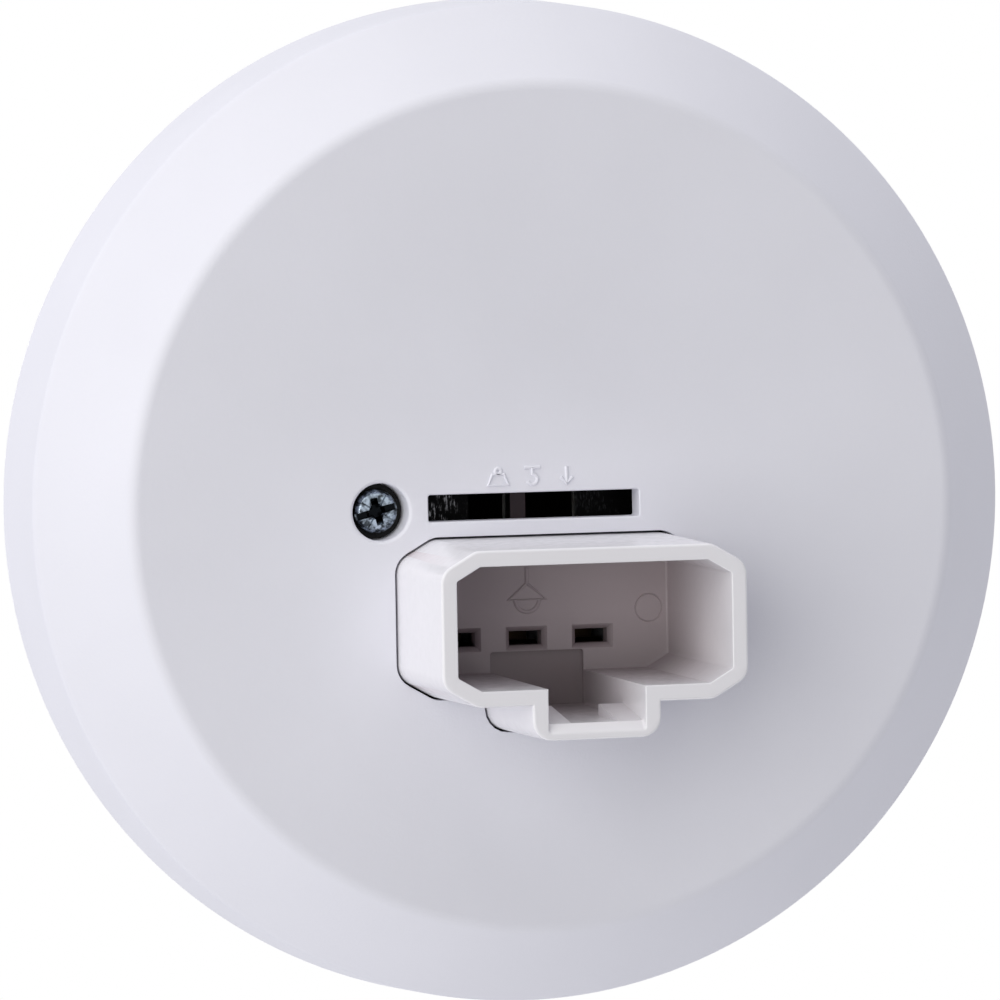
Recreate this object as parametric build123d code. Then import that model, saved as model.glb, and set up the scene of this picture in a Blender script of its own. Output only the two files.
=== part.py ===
"""Ceiling light outlet: a round surface cover, a lamp socket and the parts behind them.

Millimetres. The ceiling is the plane z = 0, +Z points up into it, and the face looks down along -Z.
The origin is on the ceiling, midway between the two fixing screws. Depths are measured down from it.
"""

import math
import os

from build123d import *

# Cover: round dish with a short side wall, a wide bevel and a flat face
cover_diameter = 128.0
cover_wall = 2.5
rim_land = 1.0
rim_height = 14.4
rim_lean_width = 1.1
face_depth = 25.2
face_diameter = 105.2
shoulder_radius = 2.4
crease_radius = 1.6

# Lamp socket: octagonal collar with a keyway below it
socket_width = 34.5
socket_height = 15.0
socket_center_y = -13.4
socket_chamfer_x = 2.95
socket_chamfer_y = 1.7
socket_wall = 1.95
socket_projection = 20.0
socket_depth = 26.9
socket_draft = 1.0
socket_floor = 2.4
socket_gap = 0.2
collar_edge_chamfer = 0.4
keyway_width = 12.2
keyway_drop = 4.3
keyway_lead_in = 1.1
keyway_recess = 0.7
keyway_recess_rise = 2.6
keyway_corner_radius = 0.4

# Latch ramps on the keyway floor
ramp_width = 3.1
ramp_rise = 1.4
ramp_length = 8.9

# Contact slots in the socket floor, in a row that stands a little off centre
contact_pitch = 8.6
contact_row_x = 1.3
contact_row_drop = 3.3
contact_slot_width = 4.2
contact_slot_height = 1.8
funnel_margin = 0.6
funnel_depth = 0.7

# Hook slot in the cover, and the rib behind it
hook_slot_length = 27.1
hook_slot_width = 3.35
hook_slot_x = 1.9
hook_slot_y = 0.25
hook_slot_corner = 0.3
hook_frame_height = 0.6
hook_frame_border = 1.0
hook_guide_x = 2.6
hook_guide_width = 1.9
hook_guide_thickness = 2.0
hook_guide_overhang = 7.4
hook_guide_gap = 0.5

# Cover screw in its well
cover_screw_x = 21.45
screw_well_diameter = 7.1
screw_well_wall = 1.2
screw_well_edge = 0.45
screw_head_diameter = 5.5
screw_head_height = 1.7
screw_head_edge = 0.5
screw_head_below_face = 2.1
screw_shank_diameter = 3.0
screw_length = 9.0
screw_hole_clearance = 0.2
thread_clearance = 0.03
recess_width = 0.9
recess_span = 3.3
recess_depth = 0.9
retainer_thickness = 0.5
retainer_clearance = 0.1

# Ribbed base plate against the ceiling
base_depth = 5.0
base_plate_thickness = 2.4
base_clearance = 0.3
base_rim_wall = 2.0
base_rib_count = 12
base_rib_thickness = 1.6
base_opening_width = 40.0
base_opening_top = 24.0
base_opening_bottom = -26.0
base_opening_radius = 8.0
base_opening_wall = 2.0

# Fixing slots for the ceiling box screws
fixing_spacing = 60.0
fixing_slot_length = 8.0
fixing_slot_width = 4.2
fixing_boss_border = 2.4

# Steel hook bracket
bracket_thickness = 1.5
bracket_bend_radius = 1.2
bracket_web_setback = 7.7
bracket_leg_offset = 3.8
bracket_bottom = -2.9
bracket_top = 8.0
bracket_flange_reach = 39.0
bracket_flange_bottom = -7.0
bracket_flange_radius = 2.0
hook_window_low_x = -5.5
hook_window_high_x = 8.3
hook_window_height = 4.4
hook_window_bridge = 1.9
thread_collar_height = 1.5
thread_collar_wall = 0.6

# Rivets between bracket and base plate
rivet_edge_distance = 2.6
rivet_y = 5.0
rivet_diameter = 2.4
rivet_head_diameter = 4.4
rivet_head_height = 1.0
rivet_hole_clearance = 0.05

# Ears, posts and screws that carry the socket
ear_spacing = 49.0
ear_width = 8.0
ear_thickness = 2.0
post_diameter = 7.4
post_screw_diameter = 2.9
post_screw_head_diameter = 5.6
post_screw_head_height = 1.8
post_screw_bite = 7.0
post_screw_spare_depth = 1.0
ear_hole_clearance = 0.2

# Terminal block behind the socket floor
housing_height = 12.1
housing_wall = 1.6
chamber_wall = 1.2
chamber_below_contacts = 3.9
chamber_above_contacts = 11.5
lid_thickness = 1.6
lid_ledge = 0.7
lid_clearance = 0.1
lid_catch_width = 3.0
lid_catch_height = 0.8
wire_hole_diameter = 2.5
wire_hole_pitch = 3.4
wire_funnel = 0.3

# Contact clips and their clamp legs
contact_thickness = 0.5
contact_side_gap = 1.2
contact_mouth = 2.6
contact_pinch = 1.0
contact_back_gap = 2.2
contact_mouth_depth = 0.5
contact_pinch_depth = 2.7
contact_top_depth = 7.0
clamp_leg_offset = 3.6
contact_bend_radius = 0.4

# Leaf springs of the push-in terminals
spring_thickness = 0.4
spring_side_gap = 0.7
spring_tip_gap = 0.15
spring_tip_depth = 4.0
spring_top_depth = 8.7
spring_foot_length = 5.4
spring_wall_gap = 0.15
spring_top_inset = 1.4
spring_bend_radius = 0.8

# Release buttons
button_side_gap = 0.5
button_length = 3.0
button_proud = 1.8
button_clearance = 0.2
button_flange = 0.5
button_flange_height = 1.0
button_flange_gap = 0.1
button_foot_length = 0.9
button_foot_gap = 0.07
button_corner_radius = 0.4
button_wall_gap = 0.6

# Depths and places that follow from the sizes above
tip_depth = face_depth + socket_projection
floor_depth = tip_depth - socket_depth
floor_rear_depth = floor_depth - socket_floor
cover_inside_depth = face_depth - cover_wall
bracket_web_depth = face_depth - bracket_web_setback
bracket_leg_outer = cover_screw_x + bracket_leg_offset
rivet_x = bracket_flange_reach - rivet_edge_distance
ear_x = ear_spacing / 2
ear_front_depth = floor_rear_depth + ear_thickness
post_depth = floor_rear_depth - ear_thickness
socket_bottom_y = socket_center_y - socket_height / 2
socket_top_y = socket_center_y + socket_height / 2
keyway_floor_y = socket_bottom_y - keyway_drop
contact_row_y = socket_center_y - contact_row_drop
draft_growth = socket_projection * math.tan(math.radians(socket_draft))
block_top_y = socket_top_y + socket_wall + draft_growth
poles = {
    "live": contact_row_x - contact_pitch,
    "earth": contact_row_x,
    "neutral": contact_row_x + contact_pitch,
}
screw_head_top = face_depth - screw_head_below_face
screw_seat_depth = screw_head_top - screw_head_height
well_floor_depth = screw_seat_depth - retainer_thickness
housing_rear_depth = floor_rear_depth - housing_height
chamber_width = contact_pitch - chamber_wall
chamber_bottom = contact_row_y - chamber_below_contacts
chamber_top = contact_row_y + chamber_above_contacts
contact_width = chamber_width - 2 * contact_side_gap
spring_width = chamber_width - 2 * spring_side_gap
button_width = chamber_width - 2 * (button_flange + button_side_gap)
lid_front_depth = housing_rear_depth + lid_thickness
clamp_leg_y = contact_row_y + clamp_leg_offset
wire_y = clamp_leg_y + contact_thickness / 2 + wire_hole_diameter / 2
button_y = chamber_top - button_wall_gap - button_flange - button_length / 2
spring_root_y = chamber_top - spring_wall_gap - spring_thickness / 2


def slab(sketch, top, bottom):
    """A flat outline made solid between two depths below the ceiling."""
    return extrude(Pos(0, 0, -bottom) * sketch, amount=bottom - top, dir=(0, 0, 1))


def box_between(x_low, x_high, y_low, y_high, top, bottom):
    """A block given by its sides and two depths."""
    middle = Pos((x_low + x_high) / 2, (y_low + y_high) / 2)
    return slab(middle * Rectangle(x_high - x_low, y_high - y_low), top, bottom)


def rod(x, y, diameter, top, bottom):
    """A round bar that stands along Z."""
    return slab(Pos(x, y) * Circle(diameter / 2), top, bottom)


def strip_section(points, radius, thickness):
    """The section of a folded strip, drawn through (y, depth) points."""
    path = FilletPolyline([(y, -depth) for y, depth in points], radius=radius)
    return trace(path, thickness)


def along_x(section, width, x):
    """A section in the YZ plane made solid, centred on x."""
    return extrude(Plane.YZ.offset(x - width / 2) * section, amount=width, dir=(1, 0, 0))


def socket_opening():
    """The collar's mouth: an octagon with the keyway below it, sharp at its corners."""
    half = socket_width / 2
    inset = half - socket_chamfer_x
    key_half = keyway_width / 2
    right = [
        (inset, socket_top_y),
        (half, socket_top_y - socket_chamfer_y),
        (half, socket_bottom_y + socket_chamfer_y),
        (inset, socket_bottom_y),
        (key_half, socket_bottom_y),
        (key_half, keyway_floor_y),
    ]
    left = [(-x, y) for x, y in right]
    return Polygon(*left, *reversed(right), align=None)


def collar_outline(growth):
    """The collar's outside, a wall's thickness and more outside its mouth, with round corners."""
    return offset(socket_opening(), amount=growth, kind=Kind.ARC)


def make_cover():
    """Dish with the socket cut-out, the hook slot and the screw well."""
    rim_radius = cover_diameter / 2
    outside = FilletPolyline(
        (rim_radius, 0),
        (rim_radius, -rim_land),
        (rim_radius - rim_lean_width, -rim_height),
        (face_diameter / 2, -face_depth),
        (0, -face_depth),
        radius=[0, crease_radius, shoulder_radius],
    )
    section = make_face(offset(outside, amount=cover_wall, side=Side.RIGHT))
    dish = revolve(Plane.XZ * section, Axis.Z)
    well_outer = screw_well_diameter + 2 * screw_well_wall
    dish += rod(cover_screw_x, 0, well_outer, bracket_web_depth, cover_inside_depth)
    slot = Pos(hook_slot_x, hook_slot_y) * RectangleRounded(
        hook_slot_length, hook_slot_width, hook_slot_corner
    )
    frame_top = cover_inside_depth - hook_frame_height
    dish += slab(offset(slot, amount=hook_frame_border), frame_top, cover_inside_depth)
    dish -= slab(slot, frame_top, face_depth)
    dish -= rod(cover_screw_x, 0, screw_well_diameter, well_floor_depth, face_depth)
    hole = screw_shank_diameter + 2 * screw_hole_clearance
    dish -= rod(cover_screw_x, 0, hole, bracket_web_depth, well_floor_depth)
    cut_out = collar_outline(socket_wall + draft_growth + socket_gap)
    dish -= slab(cut_out, cover_inside_depth, face_depth)
    well_mouth = (
        dish.edges()
        .filter_by(GeomType.CIRCLE)
        .filter_by(lambda e: abs(e.radius - screw_well_diameter / 2) < 0.01)
        .sort_by(Axis.Z)[0]
    )
    return chamfer(well_mouth, screw_well_edge)


def make_cover_screw():
    """Pan-head screw with a cross recess and a slot across it."""
    head = rod(cover_screw_x, 0, screw_head_diameter, screw_seat_depth, screw_head_top)
    rim = head.edges().filter_by(GeomType.CIRCLE).sort_by(Axis.Z)[0]
    head = chamfer(rim, screw_head_edge)
    shank_end = screw_seat_depth - screw_length
    screw = head + rod(cover_screw_x, 0, screw_shank_diameter, shank_end, screw_seat_depth)
    recess_top = screw_head_top - recess_depth
    slot_top = screw_head_top - recess_depth / 2
    middle = Pos(cover_screw_x, 0)
    cross = middle * (Rectangle(recess_span, recess_width) + Rectangle(recess_width, recess_span))
    screw -= slab(cross, recess_top, screw_head_top)
    screw -= slab(middle * Rectangle(screw_head_diameter, recess_width), slot_top, screw_head_top)
    return screw


def make_screw_retainer():
    """Captive washer under the screw head, at the foot of the well."""
    outer = screw_well_diameter / 2 - retainer_clearance
    inner = screw_shank_diameter / 2 + thread_clearance
    ring = Pos(cover_screw_x, 0) * (Circle(outer) - Circle(inner))
    return slab(ring, well_floor_depth, screw_seat_depth)


def make_latch_ramp(side):
    """Wedge on the keyway floor that rises inwards and ends in a catch face."""
    start = tip_depth - keyway_lead_in
    end = start - ramp_length
    root = socket_wall / 4
    section = Polygon(
        (keyway_floor_y - root, -start),
        (keyway_floor_y, -start),
        (keyway_floor_y + ramp_rise, -end),
        (keyway_floor_y - root, -end),
        align=None,
    )
    reach = ramp_width + root
    inner_x = keyway_width / 2 - ramp_width
    return along_x(section, reach, side * (inner_x + reach / 2))


def make_socket_body():
    """Socket insert: drafted collar, cavity, keyway, contact slots, ears and hook guide."""
    base_outline = collar_outline(socket_wall + draft_growth)
    tip_outline = Pos(0, 0, -tip_depth) * collar_outline(socket_wall)
    collar = loft([tip_outline, Pos(0, 0, -face_depth) * base_outline], ruled=True)
    front_edges = collar.edges().group_by(Axis.Z)[0]
    collar = chamfer(front_edges, collar_edge_chamfer)
    body = collar + slab(base_outline, floor_rear_depth, face_depth)
    ears = Pos(0, socket_center_y) * SlotOverall(ear_spacing + ear_width, ear_width)
    body += slab(ears, floor_rear_depth, ear_front_depth)
    guide_rear = bracket_web_depth + hook_guide_gap
    guide_half = hook_guide_width / 2
    body += box_between(
        hook_guide_x - guide_half,
        hook_guide_x + guide_half,
        block_top_y - socket_wall / 2,
        block_top_y + hook_guide_overhang,
        guide_rear,
        guide_rear + hook_guide_thickness,
    )
    body -= slab(socket_opening(), floor_depth, tip_depth)
    recess_height = keyway_drop + keyway_recess_rise
    recess = Pos(0, keyway_floor_y + recess_height / 2) * Rectangle(keyway_width, recess_height)
    recess = fillet(recess.vertices().group_by(Axis.Y)[-1], keyway_corner_radius)
    body -= slab(recess, floor_depth - keyway_recess, floor_depth)
    lead_in = Polygon(
        (keyway_floor_y, -tip_depth),
        (keyway_floor_y, keyway_lead_in - tip_depth),
        (keyway_floor_y - keyway_lead_in, -tip_depth),
        align=None,
    )
    body -= along_x(lead_in, keyway_width, 0)
    body += make_latch_ramp(1) + make_latch_ramp(-1)
    for x in poles.values():
        body -= make_contact_slot(x)
    for side in (1, -1):
        hole = post_screw_diameter + 2 * ear_hole_clearance
        body -= rod(side * ear_x, socket_center_y, hole, floor_rear_depth, ear_front_depth)
    return body


def make_contact_slot(x):
    """One contact slot through the socket floor, with the shallow funnel round it."""
    slot = Pos(x, contact_row_y) * Rectangle(contact_slot_width, contact_slot_height)
    mouth_size = (contact_slot_width + 2 * funnel_margin, contact_slot_height + 2 * funnel_margin)
    mouth = Pos(x, contact_row_y) * Rectangle(*mouth_size)
    funnel_end = floor_depth - funnel_depth
    funnel = loft([Pos(0, 0, -funnel_end) * slot, Pos(0, 0, -floor_depth) * mouth])
    return slab(slot, floor_rear_depth, floor_depth) + funnel


def base_radius():
    """The base plate fits inside the cover's leaning rim at its front edge."""
    lean = (base_depth - rim_land) / (rim_height - rim_land) * rim_lean_width
    slope = math.atan2(rim_lean_width, rim_height - rim_land)
    return cover_diameter / 2 - lean - cover_wall / math.cos(slope) - base_clearance


def make_base_plate():
    """Round plate with a wiring opening, ribs towards the ceiling and posts for the socket."""
    radius = base_radius()
    plate_rear = base_depth - base_plate_thickness
    opening_height = base_opening_top - base_opening_bottom
    opening = Pos(0, (base_opening_top + base_opening_bottom) / 2) * RectangleRounded(
        base_opening_width, opening_height, base_opening_radius
    )
    wall = offset(opening, amount=base_opening_wall)
    rim = Circle(radius) - Circle(radius - base_rim_wall)
    ribs = Sketch()
    for index in range(base_rib_count):
        turn = Rot(0, 0, 360 / base_rib_count * (index + 0.5))
        ribs += turn * Pos(radius / 2, 0) * Rectangle(radius - base_rim_wall / 2, base_rib_thickness)
    bosses = Sketch()
    for side in (1, -1):
        length = fixing_slot_length + 2 * fixing_boss_border
        width = fixing_slot_width + 2 * fixing_boss_border
        bosses += Pos(side * fixing_spacing / 2, 0) * SlotOverall(length, width)
        bosses -= Pos(side * rivet_x, rivet_y) * Circle(rivet_head_diameter / 2 + base_clearance)
        ribs -= Pos(side * rivet_x, rivet_y) * Circle(rivet_head_diameter / 2 + base_clearance)
    ribs = ribs & Circle(radius - base_rim_wall / 2)
    relief = rim + wall + ribs + bosses - opening
    plate = slab(Circle(radius) - opening, plate_rear, base_depth)
    plate += slab(relief, 0, plate_rear)
    for side in (1, -1):
        plate += rod(side * ear_x, socket_center_y, post_diameter, plate_rear, post_depth)
        hole_top = post_depth - post_screw_bite - post_screw_spare_depth
        hole = post_screw_diameter + 2 * thread_clearance
        plate -= rod(side * ear_x, socket_center_y, hole, hole_top, post_depth)
        plate -= slab(fixing_slot(side), 0, base_depth)
        rivet_hole = rivet_diameter + 2 * rivet_hole_clearance
        plate -= rod(side * rivet_x, rivet_y, rivet_hole, plate_rear, base_depth)
    return plate


def fixing_slot(side):
    """Outline of one slotted hole for a ceiling box screw."""
    return Pos(side * fixing_spacing / 2, 0) * SlotOverall(fixing_slot_length, fixing_slot_width)


def make_hook_bracket():
    """Hat-shaped steel strip: flanges on the base plate and a web behind the hook slot."""
    sheet_middle = bracket_thickness / 2
    leg_x = bracket_leg_outer - sheet_middle
    flange_z = -(base_depth + sheet_middle)
    web_z = -(bracket_web_depth - sheet_middle)
    path = FilletPolyline(
        (-bracket_flange_reach, flange_z),
        (-leg_x, flange_z),
        (-leg_x, web_z),
        (leg_x, web_z),
        (leg_x, flange_z),
        (bracket_flange_reach, flange_z),
        radius=bracket_bend_radius,
    )
    strip_width = bracket_top - bracket_bottom
    section = Plane.XZ.offset(-bracket_top) * trace(path, bracket_thickness)
    bracket = extrude(section, amount=strip_width, dir=(0, -1, 0))
    flange_front = base_depth + bracket_thickness
    flange_inner = leg_x + sheet_middle + bracket_bend_radius
    flange_width = bracket_flange_reach - flange_inner
    flange_height = bracket_top - bracket_flange_bottom
    for side in (1, -1):
        middle = Pos(
            side * (flange_inner + bracket_flange_reach) / 2, (bracket_top + bracket_flange_bottom) / 2
        )
        flange = middle * RectangleRounded(flange_width, flange_height, bracket_flange_radius)
        bracket += slab(flange, base_depth, flange_front)
        bracket -= slab(fixing_slot(side), base_depth, flange_front)
        rivet_hole = rivet_diameter + 2 * rivet_hole_clearance
        bracket -= rod(side * rivet_x, rivet_y, rivet_hole, base_depth, flange_front)
    web_rear = bracket_web_depth - bracket_thickness
    window_low_y = hook_slot_y - hook_window_height / 2
    window_high_y = hook_slot_y + hook_window_height / 2
    bridge_low = hook_guide_x - hook_window_bridge / 2
    bridge_high = hook_guide_x + hook_window_bridge / 2
    for x_low, x_high in ((hook_window_low_x, bridge_low), (bridge_high, hook_window_high_x)):
        bracket -= box_between(x_low, x_high, window_low_y, window_high_y, web_rear, bracket_web_depth)
    thread = screw_shank_diameter + 2 * thread_clearance
    collar = thread + 2 * thread_collar_wall
    bracket += rod(cover_screw_x, 0, collar, web_rear - thread_collar_height, web_rear)
    bracket -= rod(cover_screw_x, 0, thread, web_rear - thread_collar_height, bracket_web_depth)
    return bracket


def make_bracket_rivets():
    """Two rivets with a head on each side."""
    rivets = []
    rear = base_depth - base_plate_thickness
    front = base_depth + bracket_thickness
    for side in (1, -1):
        x = side * rivet_x
        rivet = rod(x, rivet_y, rivet_diameter, rear, front)
        rivet += rod(x, rivet_y, rivet_head_diameter, rear - rivet_head_height, rear)
        rivet += rod(x, rivet_y, rivet_head_diameter, front, front + rivet_head_height)
        rivets.append(rivet)
    return Compound(rivets)


def make_socket_screws():
    """Two screws through both pairs of ears into the posts."""
    screws = []
    for side in (1, -1):
        x = side * ear_x
        end = post_depth - post_screw_bite
        head_top = ear_front_depth + post_screw_head_height
        head = rod(x, socket_center_y, post_screw_head_diameter, ear_front_depth, head_top)
        rim = head.edges().filter_by(GeomType.CIRCLE).sort_by(Axis.Z)[0]
        head = chamfer(rim, screw_head_edge)
        shank = rod(x, socket_center_y, post_screw_diameter, end, ear_front_depth)
        slot = Pos(x, socket_center_y) * Rectangle(post_screw_head_diameter, recess_width)
        screws.append(head + shank - slab(slot, head_top - recess_depth / 2, head_top))
    return Compound(screws)


def chamber_span():
    """Low and high X of the row of chambers."""
    half = 1.5 * contact_pitch - chamber_wall / 2
    return contact_row_x - half, contact_row_x + half


def chambers_rectangle(growth):
    """Rectangle round all three chambers, grown outwards."""
    x_low, x_high = chamber_span()
    size_x = x_high - x_low + 2 * growth
    size_y = chamber_top - chamber_bottom + 2 * growth
    return Pos(contact_row_x, (chamber_top + chamber_bottom) / 2) * Rectangle(size_x, size_y)


def make_terminal_housing():
    """Block with one chamber for each pole, a ledge for the lid and a pair of ears."""
    housing = slab(chambers_rectangle(housing_wall), housing_rear_depth, floor_rear_depth)
    ears = Pos(0, socket_center_y) * SlotOverall(ear_spacing + ear_width, ear_width)
    housing += slab(ears, post_depth, floor_rear_depth)
    chamber_y = (chamber_top + chamber_bottom) / 2
    for x in poles.values():
        chamber = Pos(x, chamber_y) * Rectangle(chamber_width, chamber_top - chamber_bottom)
        housing -= slab(chamber, lid_front_depth, floor_rear_depth)
    housing -= slab(chambers_rectangle(lid_ledge), housing_rear_depth, lid_front_depth)
    for side in (1, -1):
        hole = post_screw_diameter + 2 * ear_hole_clearance
        housing -= rod(side * ear_x, socket_center_y, hole, post_depth, floor_rear_depth)
        housing -= lid_catch(side, lid_clearance)
    return housing


def lid_catch(side, growth):
    """Lug on a short side of the lid, or the window for it in the housing wall."""
    x_low, x_high = chamber_span()
    edge = (x_high if side > 0 else x_low) + side * (lid_ledge - lid_clearance)
    inner = edge - side * lid_ledge / 2
    outer = edge + side * (housing_wall - lid_ledge + lid_clearance + growth)
    middle = housing_rear_depth + lid_thickness / 2
    half_height = lid_catch_height / 2 + growth
    half_width = lid_catch_width / 2 + growth
    return box_between(
        min(inner, outer),
        max(inner, outer),
        socket_center_y - half_width,
        socket_center_y + half_width,
        middle - half_height,
        middle + half_height,
    )


def make_terminal_lid():
    """Rear lid with two wire entries and one button window for each pole."""
    lid = slab(chambers_rectangle(lid_ledge - lid_clearance), housing_rear_depth, lid_front_depth)
    for side in (1, -1):
        lid += lid_catch(side, 0)
    radius = wire_hole_diameter / 2
    for x in poles.values():
        for offset_x in (-wire_hole_pitch / 2, wire_hole_pitch / 2):
            lid -= rod(x + offset_x, wire_y, wire_hole_diameter, housing_rear_depth, lid_front_depth)
            funnel = Cone(radius, radius + wire_funnel, wire_funnel)
            lid -= Pos(x + offset_x, wire_y, -housing_rear_depth - wire_funnel / 2) * funnel
        window = Pos(x, button_y) * Rectangle(
            button_width + 2 * button_clearance, button_length + 2 * button_clearance
        )
        lid -= slab(window, housing_rear_depth, lid_front_depth)
    return lid


def make_contact(x):
    """Sprung clip for a plug blade, folded in one with the leg that a wire is clamped to."""
    top = floor_rear_depth - contact_top_depth
    pinch = floor_rear_depth - contact_pinch_depth
    mouth = floor_rear_depth - contact_mouth_depth
    half_sheet = contact_thickness / 2

    def leaf(side):
        return [
            (contact_row_y + side * (contact_back_gap / 2 + half_sheet), top),
            (contact_row_y + side * (contact_pinch / 2 + half_sheet), pinch),
            (contact_row_y + side * (contact_mouth / 2 + half_sheet), mouth),
        ]

    outer = [*reversed(leaf(-1)), (clamp_leg_y, top), (clamp_leg_y, floor_rear_depth)]
    section = strip_section(outer, contact_bend_radius, contact_thickness)
    section += strip_section(leaf(1), contact_bend_radius, contact_thickness)
    return along_x(section, contact_width, x)


def spring_leaf():
    """Tip and top of a spring's leaf, as (y, depth) on the middle of the strip."""
    tip_y = clamp_leg_y + contact_thickness / 2 + spring_tip_gap + spring_thickness / 2
    tip = (tip_y, floor_rear_depth - spring_tip_depth)
    top = (spring_root_y - spring_top_inset, floor_rear_depth - spring_top_depth)
    return tip, top


def leaf_surface_depth(y):
    """Depth of the leaf's rear surface at y, where a button's foot presses it."""
    (tip_y, leaf_end), (top_y, leaf_top) = spring_leaf()
    slope = (leaf_end - leaf_top) / (top_y - tip_y)
    middle = leaf_top + slope * (top_y - y)
    return middle - spring_thickness / 2 * math.hypot(1, slope)


def make_clamp_spring(x):
    """Leaf spring: its foot lies on the socket floor and its tip presses towards the clamp leg."""
    foot_depth = floor_rear_depth - spring_thickness / 2
    points = [
        *spring_leaf(),
        (spring_root_y, foot_depth),
        (spring_root_y - spring_foot_length, foot_depth),
    ]
    return along_x(strip_section(points, spring_bend_radius, spring_thickness), spring_width, x)


def make_release_button(x):
    """Button in the lid's window, with a flange that keeps it in and a foot over the spring."""
    middle = Pos(x, button_y)
    flange_top = lid_front_depth + button_flange_gap
    flange_front = flange_top + button_flange_height
    cap = middle * RectangleRounded(button_width, button_length, button_corner_radius)
    button = slab(cap, housing_rear_depth - button_proud, flange_front)
    flange = middle * Rectangle(button_width + 2 * button_flange, button_length + 2 * button_flange)
    button += slab(flange, flange_top, flange_front)
    foot_y = button_y - (button_length - button_foot_length) / 2
    foot = Pos(x, foot_y) * Rectangle(button_width, button_foot_length)
    foot_end = leaf_surface_depth(foot_y + button_foot_length / 2) - button_foot_gap
    return button + slab(foot, flange_front, foot_end)


def write(name, shape):
    """One STEP file for each piece."""
    export_step(shape, os.path.join("parts", name + ".step"))


def main():
    os.makedirs("parts", exist_ok=True)
    write("cover", make_cover())
    write("cover_screw", make_cover_screw())
    write("screw_retainer", make_screw_retainer())
    write("socket_body", make_socket_body())
    write("base_plate", make_base_plate())
    write("hook_bracket", make_hook_bracket())
    write("bracket_rivets", make_bracket_rivets())
    write("socket_screws", make_socket_screws())
    write("terminal_housing", make_terminal_housing())
    write("terminal_lid", make_terminal_lid())
    for pole, x in poles.items():
        write("contact_" + pole, make_contact(x))
        write("clamp_spring_" + pole, make_clamp_spring(x))
        write("release_button_" + pole, make_release_button(x))


main()
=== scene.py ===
"""Ceiling light outlet: the finished look of the part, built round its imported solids.

Metres. The ceiling is the plane z = 0, +Z points up into it, and the face looks down along -Z.
Depths are measured down from the ceiling.
"""

import math

import bmesh
import bpy
from bpy.props import FloatProperty, FloatVectorProperty, PointerProperty
from mathutils import Matrix, Vector


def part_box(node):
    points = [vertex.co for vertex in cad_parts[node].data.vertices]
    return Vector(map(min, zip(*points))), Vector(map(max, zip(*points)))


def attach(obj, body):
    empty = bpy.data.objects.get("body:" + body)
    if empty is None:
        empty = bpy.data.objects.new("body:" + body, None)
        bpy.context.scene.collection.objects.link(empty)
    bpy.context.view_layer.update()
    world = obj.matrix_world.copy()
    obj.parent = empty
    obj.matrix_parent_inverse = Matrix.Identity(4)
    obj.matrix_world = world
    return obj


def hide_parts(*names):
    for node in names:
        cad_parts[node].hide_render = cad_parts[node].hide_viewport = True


bl_info = {
    "name": "Ceiling light outlet",
    "version": (1, 0, 0),
    "blender": (4, 5, 0),
    "location": "View3D > Sidebar > Outlet",
    "description": "Builds a round ceiling outlet with its lamp socket, fixings and terminals",
    "category": "Add Mesh",
}

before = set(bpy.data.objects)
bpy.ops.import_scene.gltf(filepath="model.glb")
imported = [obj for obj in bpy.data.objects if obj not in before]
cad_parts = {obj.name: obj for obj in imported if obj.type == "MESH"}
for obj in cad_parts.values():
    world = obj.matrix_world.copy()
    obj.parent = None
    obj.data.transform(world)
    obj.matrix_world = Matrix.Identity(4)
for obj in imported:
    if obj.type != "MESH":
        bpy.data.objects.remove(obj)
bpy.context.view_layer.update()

MM = 0.001
BODY = "outlet"
POLES = ("live", "earth", "neutral")
SIDES = (1, -1)
CORNERS = ((-1, -1), (1, -1), (1, 1), (-1, 1))

# Smoothness of the meshes
ROUND_STEPS = 192
SMALL_STEPS = 64
SCREW_STEPS = 40
ARC_STEPS = 14
EDGE_STEPS = 5
POLE_RADIUS = 0.02 * MM
MERGE_DISTANCE = 0.0005 * MM
SHARP_ANGLE = math.radians(32)
FLAT_ANGLE = math.radians(0.6)

# Relief of the scratches in metal
SCRATCH_DEPTH = 0.02 * MM

# Socket kinds of the node groups
FLOAT = "NodeSocketFloat"
INTEGER = "NodeSocketInt"
VECTOR = "NodeSocketVector"
OBJECT = "NodeSocketObject"
MATERIAL = "NodeSocketMaterial"
GEOMETRY = "NodeSocketGeometry"


def number(name, description, value, **kind):
    """A value that a user may change."""
    return FloatProperty(name=name, description=description, default=value, **kind)


def length(name, description, millimetres):
    """A size that a user may change, written here in millimetres."""
    return number(name, description, millimetres * MM, subtype="DISTANCE", precision=5)


def angle(name, description, degrees):
    """A turn that a user may change, written here in degrees."""
    return number(name, description, math.radians(degrees), subtype="ANGLE")


def power(name, description, watts):
    """A lamp's power that a user may change."""
    return number(name, description, watts, unit="POWER")


def colour(name, description, red, green, blue):
    """A base colour that a user may change."""
    return FloatVectorProperty(
        name=name, description=description, default=(red, green, blue), subtype="COLOR", min=0, max=1
    )


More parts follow.
